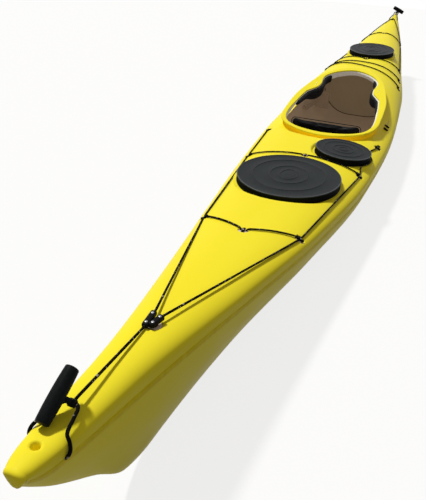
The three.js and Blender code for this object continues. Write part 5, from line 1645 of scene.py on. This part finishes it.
def swell(obj, cap):
    before = vertex_array(obj.data)
    settings = obj.modifiers.new("swell", "CLOTH").settings
    settings.use_pressure = True
    settings.uniform_pressure_force = pad_steps.pressure
    settings.effector_weights.gravity = 0
    settings.mass = pad_steps.mass
    scene = bpy.context.scene
    for step in range(1, pad_steps.frames + 1):
        scene.frame_set(step)
    graph = bpy.context.evaluated_depsgraph_get()
    after = vertex_array(obj.evaluated_get(graph).data)
    obj.modifiers.clear()
    scene.frame_set(1)
    move = after - before
    size = np.linalg.norm(move, axis=1)[:, None]
    move *= cap / np.maximum(size, cap)
    obj.data.vertices.foreach_set("co", (before + move).ravel())
    obj.data.update()


def soft_piece(name, points, faces, finish, cap, node, body="boat", shape=None):
    obj = piece(name, points, facing_out(points, faces), finish, body=body, slot="foam", nodes=[node])
    remesh = obj.modifiers.new("even", "REMESH")
    remesh.mode = "VOXEL"
    remesh.voxel_size = pad_steps.voxel
    baked(obj)
    swell(obj, cap)
    finer = obj.modifiers.new("finer", "SUBSURF")
    finer.levels = 1
    baked(obj)
    if shape:
        places = vertex_array(obj.data)
        obj.data.vertices.foreach_set("co", shape(places).ravel())
        obj.data.update()
    obj.data.materials.clear()
    obj.data.materials.append(finish)
    obj.data.shade_smooth()


# Crowned slab: rounded outlines that shrink towards its two faces
def cushion(width, height, thickness, round_corner, inset):
    rings = []
    for spread, depth in zip(crown_spread_shares, crown_depth_shares):
        drawn = inset + round_corner * (1 - spread)
        ring = rounded_rectangle(width / 2 - drawn, height / 2 - drawn, round_corner, pad_steps.around)
        rings.append([(y, z, (thickness - 2 * inset) * (depth - 0.5)) for y, z in ring])
    return loft(rings)


crown_spread_shares = [0.1, 0.45, 0.75, 0.93, 1, 0.93, 0.75, 0.45, 0.1]
crown_depth_shares = [0, 0.06, 0.16, 0.32, 0.5, 0.68, 0.84, 0.94, 1]
backband = Sizes(fill=0.55, height=0.088, thickness=0.026, half=0.168, curve=0.024, round=0.02,
                 forward=0.022, overlap=0.018, knuckle=0.008, knuckle_half=0.012, knuckle_at=0.084,
                 strap_corner=0.002, cap=0.006, inset=0.003, piping=0.0018, piping_around=8,
                 piping_inset=0.0012)
strap_share = Sizes(rim=0.15, end=0.4)
band_x = seat.rear + seat.wall / 2
band_z = seat.back + hatch.fit + backband.knuckle
hip_pad = Sizes(fill=0.6, x=-0.128, length=0.11, height=0.07, thickness=0.02, bottom=0.096, round=0.016,
                cap=0.005, inset=0.0025)


def band_place(points):
    across, up, through = points.T
    share = across / backband.half
    return np.column_stack([band_x + backband.forward + through + backband.curve * share ** 2, across,
                            band_z + backband.height / 2 - backband.overlap + up])


# Folds: shallow creases that run slantwise across the pad, deepest at its upper edge
def band_folds(places):
    y = places[:, 1] / backband.half
    z = (places[:, 2] - band_z) / backband.height
    folded = places.copy()
    for at, slant, depth, wide in fold_places:
        crease = depth * np.exp(-((y - at - slant * (z - fold_share.level)) / wide) ** 2)
        folded[:, 0] += crease * np.clip(z + fold_share.reach, 0, 1)
        folded[:, 2] -= crease * fold_share.drop * np.clip(z, 0, 1)
    seam_lines = sum(np.exp(-((z - at) / fold_share.seam_wide) ** 2) for at in band_seam_shares)
    middle = band_x + backband.forward + backband.curve * y ** 2
    folded[:, 0] -= band_seam_depth * seam_lines * np.sign(places[:, 0] - middle)
    return folded


fold_share = Sizes(level=0.4, reach=0.2, drop=0.6, seam_wide=0.02)
band_seam_shares = [0.55, 0.12]
band_seam_depth = 0.0022
fold_places = [(-0.62, 0.5, 0.0035, 0.07), (-0.3, -0.7, 0.003, 0.06), (0.05, 0.9, 0.0042, 0.08),
               (0.36, -0.5, 0.003, 0.06), (0.7, 0.6, 0.0035, 0.07)]


def make_piping():
    half, high = backband.half - backband.piping_inset, backband.height / 2 - backband.piping_inset
    outline = rounded_rectangle(half, high, backband.round, pad_steps.around)
    closed = curve_through(band_place(np.array([(y, z, 0) for y, z in outline])), 2, closed=True)
    points, faces, uv = tube(closed + closed[:1], backband.piping, backband.piping_around, caps=False)
    piece("backband_piping", points, faces, fabric, body="backband", slot="foam", uv=uv)


def knuckle_parts(side):
    middle = Vector((band_x, side * backband.knuckle_at, band_z))
    reach = backband.forward + backband.curve * (backband.knuckle_at / backband.half) ** 2
    strap = lifted(*(middle + Vector((reach / 2, 0, 0))))
    size = (reach, 2 * backband.knuckle_half, backband.knuckle)
    return [rimmed_barrel(backband.knuckle, backband.knuckle_half, backband.knuckle * strap_share.rim,
                          strap_share.end, pointing(middle, (0, 1, 0)), high_around),
            rounded_block(size, backband.strap_corner, strap, low_around)]


def make_backband():
    points, faces = cushion(2 * backband.half, backband.height, backband.thickness, backband.round,
                            backband.inset)
    soft_piece("backband_pad", band_place(points), faces, fabric, backband.cap, "backband",
               body="backband", shape=band_folds)
    make_piping()
    solid("backband_knuckles", knuckle_parts(1) + knuckle_parts(-1), black_plastic, body="backband",
          slot="foam")


def make_hip_pads():
    for word, side in sides.items():
        points, faces = cushion(hip_pad.length, hip_pad.height, hip_pad.thickness, hip_pad.round,
                                hip_pad.inset)
        y = side * (seat.half - seat.wall - hatch.fit - hip_pad.thickness / 2)
        along, up, through = points.T
        placed_pad = np.column_stack([hip_pad.x + along, y - side * through,
                                      hip_pad.bottom + hip_pad.height / 2 + up])
        soft_piece(f"hip_cushion_{word}", placed_pad, faces, foam, hip_pad.cap, f"hip_pad_{word}")


# Thigh pads: foam between the riser and the opening, thicker where the brace is
thigh = Sizes(fill=0.9, rear=0.352, front=0.798, thickness=0.046, inset=-0.014, clear=0.0006,
              stations=56, around=40, cap=0.0022, shrink=0.0015, end=0.02, least=0.004, end_share=0.3,
              corner_share=0.9)
thigh_corners = (0.014, 0.004)
pad_depth_shares = [(0, 0.6), (0.25, 0.8), (0.42, 1.3), (0.56, 1.35), (0.68, 1.05), (1, 1)]


def edge_half(outline, x):
    port = outline[outline[:, 1] > 0]
    port = port[np.argsort(port[:, 0])]
    return np.interp(x, port[:, 0], port[:, 1])


def thigh_ring(share, inner_line, outer_line, side):
    x = thigh.rear + (thigh.front - thigh.rear) * share
    near_end = min(x - thigh.rear, thigh.front - x) / thigh.end
    deep = thigh.thickness * float(np.interp(share, *zip(*pad_depth_shares)))
    drawn = thigh.shrink + (1 - math.sqrt(1 - max(1 - near_end, 0) ** 2)) * deep * thigh.end_share
    inner = float(edge_half(inner_line, x)) + drawn
    outer = max(float(edge_half(outer_line, x)) - drawn, inner + thigh.least)
    high = deep / 2 - drawn
    half = (outer - inner) / 2
    most = thigh.corner_share * min(high, half)
    round_ring, crisp_ring = (rounded_rectangle(half, high, min(corner, most), thigh.around)
                              for corner in thigh_corners)
    ring = np.where(np.array(crisp_ring)[:, 1:] > 0, crisp_ring, round_ring)
    top = -cockpit.lip - thigh.clear
    return placed(cockpit_frame, [(x, side * ((outer + inner) / 2 + y), top - deep / 2 + z)
                                  for y, z in ring])


def make_thigh_pads():
    outer_line = grown(lip_outline, -cockpit.riser_inset - cockpit.riser_wall - thigh.clear)
    inner_line = grown(opening_outline, thigh.inset)
    for word, side in sides.items():
        points, faces = loft([thigh_ring(i / thigh.stations, inner_line, outer_line, side)
                              for i in range(thigh.stations + 1)])
        soft_piece(f"thigh_foam_{word}", points, faces, foam, thigh.cap, f"thigh_pad_{word}")


make_seat()
make_backband()
make_hip_pads()
make_thigh_pads()


# Skeg blade: a plate with soft edges on its pin
skeg = Sizes(pivot_x=-1.27, pivot_z=0.042, nose=0.026, reach=0.306, below=0.036, above=0.05, heel=0.012,
             half=0.004, pin=0.004, pin_half=0.01, edge=0.0016, edge_share=0.3, around=120)
nose_angle_shares = [0.5, 0.4, 0.3, 0.2, 0.1, 0, -0.1, -0.2, -0.3, -0.4]


def skeg_outline():
    nose = [(skeg.nose * math.cos(share * math.pi), skeg.nose * math.sin(share * math.pi))
            for share in nose_angle_shares]
    heel = [(-skeg.reach + skeg.heel, -skeg.below),
            (-skeg.reach + skeg.heel / 3, -skeg.below + skeg.heel / 3),
            (-skeg.reach, -skeg.below + skeg.heel)]
    top = [(-skeg.reach, skeg.above / 2), (-skeg.reach + skeg.heel, skeg.above),
           (-2 * skeg.nose, skeg.above)]
    return even(np.array(nose + [(-skeg.nose, -skeg.below)] + heel + top), skeg.around)


def make_skeg():
    outline = skeg_outline()
    bevel = skeg.edge * skeg.edge_share
    edges = [(0, skeg.half - skeg.edge), (bevel, skeg.half - bevel), (skeg.edge, skeg.half)]
    rings = []
    for inset, y in [(inset, -y) for inset, y in reversed(edges)] + edges:
        flat = grown(outline, -inset)
        rings.append(np.column_stack([skeg.pivot_x + flat[:, 0], np.full(len(flat), y),
                                      skeg.pivot_z + flat[:, 1]]))
    pin = turned([(skeg.pin, -skeg.pin_half), (skeg.pin, skeg.pin_half)],
                 pointing(Vector((skeg.pivot_x, 0, skeg.pivot_z)), (0, 1, 0)), high_around)
    plastic("skeg_fin", [loft(rings), pin], ["skeg_blade"], "skeg")


# Seam tape round the boat where deck and hull meet
seam = Sizes(half=0.011, proud=0.0007, step=0.012, reach=2.425, drop_share=0.3)
seam_shares = [(-1, -0.3), (-0.9, 0.8), (-0.5, 1), (0, 1), (0.5, 1), (0.9, 0.8), (1, -0.3)]


def seam_ring(x, side):
    section = section_at(x)
    middle = float(section.drop)
    wide = min(seam.half, middle * seam.drop_share)
    ring = []
    for drop, out in seam_shares:
        y, z = side_point(section, angle_at_drop(section, middle + drop * wide))
        ring.append((x, side * (float(y) + out * seam.proud), float(z)))
    return ring


def make_seam():
    stations = np.linspace(-seam.reach, seam.reach, round(2 * seam.reach / seam.step))
    for word, side in sides.items():
        points, faces = loft([seam_ring(x, side) for x in stations], caps=False, around=False)
        piece(f"seam_tape_{word}", points, faces if side < 0 else [f[::-1] for f in faces], seam_yellow,
              slot="deck_shell")


# Bead of sealant where the front bulkhead meets the hull
bulkhead = Sizes(x=0.95, half=0.004, bead=0.0035, rows_share=0.9, first=2, per_span=3, around=10)


def bulkhead_bead():
    y, z = hull_rows(section_at(bulkhead.x), hull.laminate)
    x = bulkhead.x - bulkhead.half
    count = round(len(y) * bulkhead.rows_share)
    port = [Vector((x, float(y[k]), float(z[k]))) for k in range(bulkhead.first, count)]
    starboard = [Vector((p.x, -p.y, p.z)) for p in port]
    route = curve_through(starboard[::-1] + port, bulkhead.per_span)
    points, faces, uv = tube(route, bulkhead.bead, bulkhead.around)
    piece("bulkhead_seal", points, faces, sealant, slot="grey_laminate")


# Finishes of the solids that stay as they are
def finish_solids():
    finishes = {"bulkhead_front": bulkhead_laminate, "bulkhead_rear": grey_laminate,
                "bulkhead_day": grey_laminate, "skeg_box": grey_laminate, "skeg_cable": black_plastic}
    for word in sides:
        finishes[f"foot_rail_{word}"] = pedal_plastic
        finishes[f"foot_pedal_{word}"] = pedal_plastic
    for name, finish in finishes.items():
        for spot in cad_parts[name].material_slots:
            spot.material = finish


make_skeg()
make_seam()
bulkhead_bead()
finish_solids()


# Stage: a pale floor, a soft sun from port and ahead, and an even sky
stage = Sizes(floor=14, floor_cuts=8, floor_grey=0.86, floor_roughness=0.9, white_share=0.8, bounce=0.2,
              sky=0.27, sky_color=(1, 0.93, 0.86), sun=2.75, sun_size=6, sun_color=(1, 0.985, 0.94),
              sun_from=(0.35, 0.62, 1.15))
white_color = (1, 1, 1)


def seen_white(tree):
    path = tree.nodes.new("ShaderNodeLightPath")
    last = path.outputs["Is Camera Ray"]
    for ray in ("Is Glossy Ray", "Is Transmission Ray"):
        either = tree.nodes.new("ShaderNodeMath")
        either.operation = "MAXIMUM"
        tree.links.new(last, either.inputs[0])
        tree.links.new(path.outputs[ray], either.inputs[1])
        last = either.outputs["Value"]
    return last


def mixed(tree, share, first, second):
    mix = tree.nodes.new("ShaderNodeMixShader")
    if isinstance(share, float):
        mix.inputs["Fac"].default_value = share
    else:
        tree.links.new(share, mix.inputs["Fac"])
    tree.links.new(first, mix.inputs[1])
    tree.links.new(second, mix.inputs[2])
    return mix.outputs["Shader"]


def shining(tree, kind, color, output):
    node = tree.nodes.new(kind)
    node.inputs["Color"].default_value = (*color, 1)
    return node.outputs[output]


def make_floor():
    bpy.ops.mesh.primitive_grid_add(x_subdivisions=stage.floor_cuts, y_subdivisions=stage.floor_cuts,
                                    size=stage.floor)
    floor = bpy.context.object
    floor.name = "floor"
    material = new_material("pale_floor", [stage.floor_grey] * 3, stage.floor_roughness)
    tree = material.node_tree
    white = shining(tree, "ShaderNodeEmission", white_color, "Emission")
    seen = mixed(tree, stage.white_share, shader_of(material).outputs["BSDF"], white)
    dim = shining(tree, "ShaderNodeBsdfDiffuse", [stage.bounce] * 3, "BSDF")
    surface = mixed(tree, seen_white(tree), dim, seen)
    tree.links.new(surface, tree.nodes["Material Output"].inputs["Surface"])
    floor.data.materials.append(material)


def make_world():
    world = bpy.data.worlds.new("sky")
    bpy.context.scene.world = world
    world.use_nodes = True
    tree = world.node_tree
    sky = tree.nodes["Background"]
    sky.inputs["Color"].default_value = (*stage.sky_color, 1)
    sky.inputs["Strength"].default_value = stage.sky
    white = shining(tree, "ShaderNodeBackground", white_color, "Background")
    tree.links.new(mixed(tree, seen_white(tree), sky.outputs["Background"], white),
                   tree.nodes["World Output"].inputs["Surface"])


def make_sun():
    data = bpy.data.lights.new("sun", "SUN")
    data.energy = stage.sun
    data.angle = math.radians(stage.sun_size)
    data.color = stage.sun_color
    sun = bpy.data.objects.new("sun", data)
    bpy.context.scene.collection.objects.link(sun)
    sun.rotation_euler = Vector(stage.sun_from).to_track_quat("Z", "Y").to_euler()


bpy.context.scene.view_settings.view_transform = "Standard"
make_floor()
make_world()
make_sun()
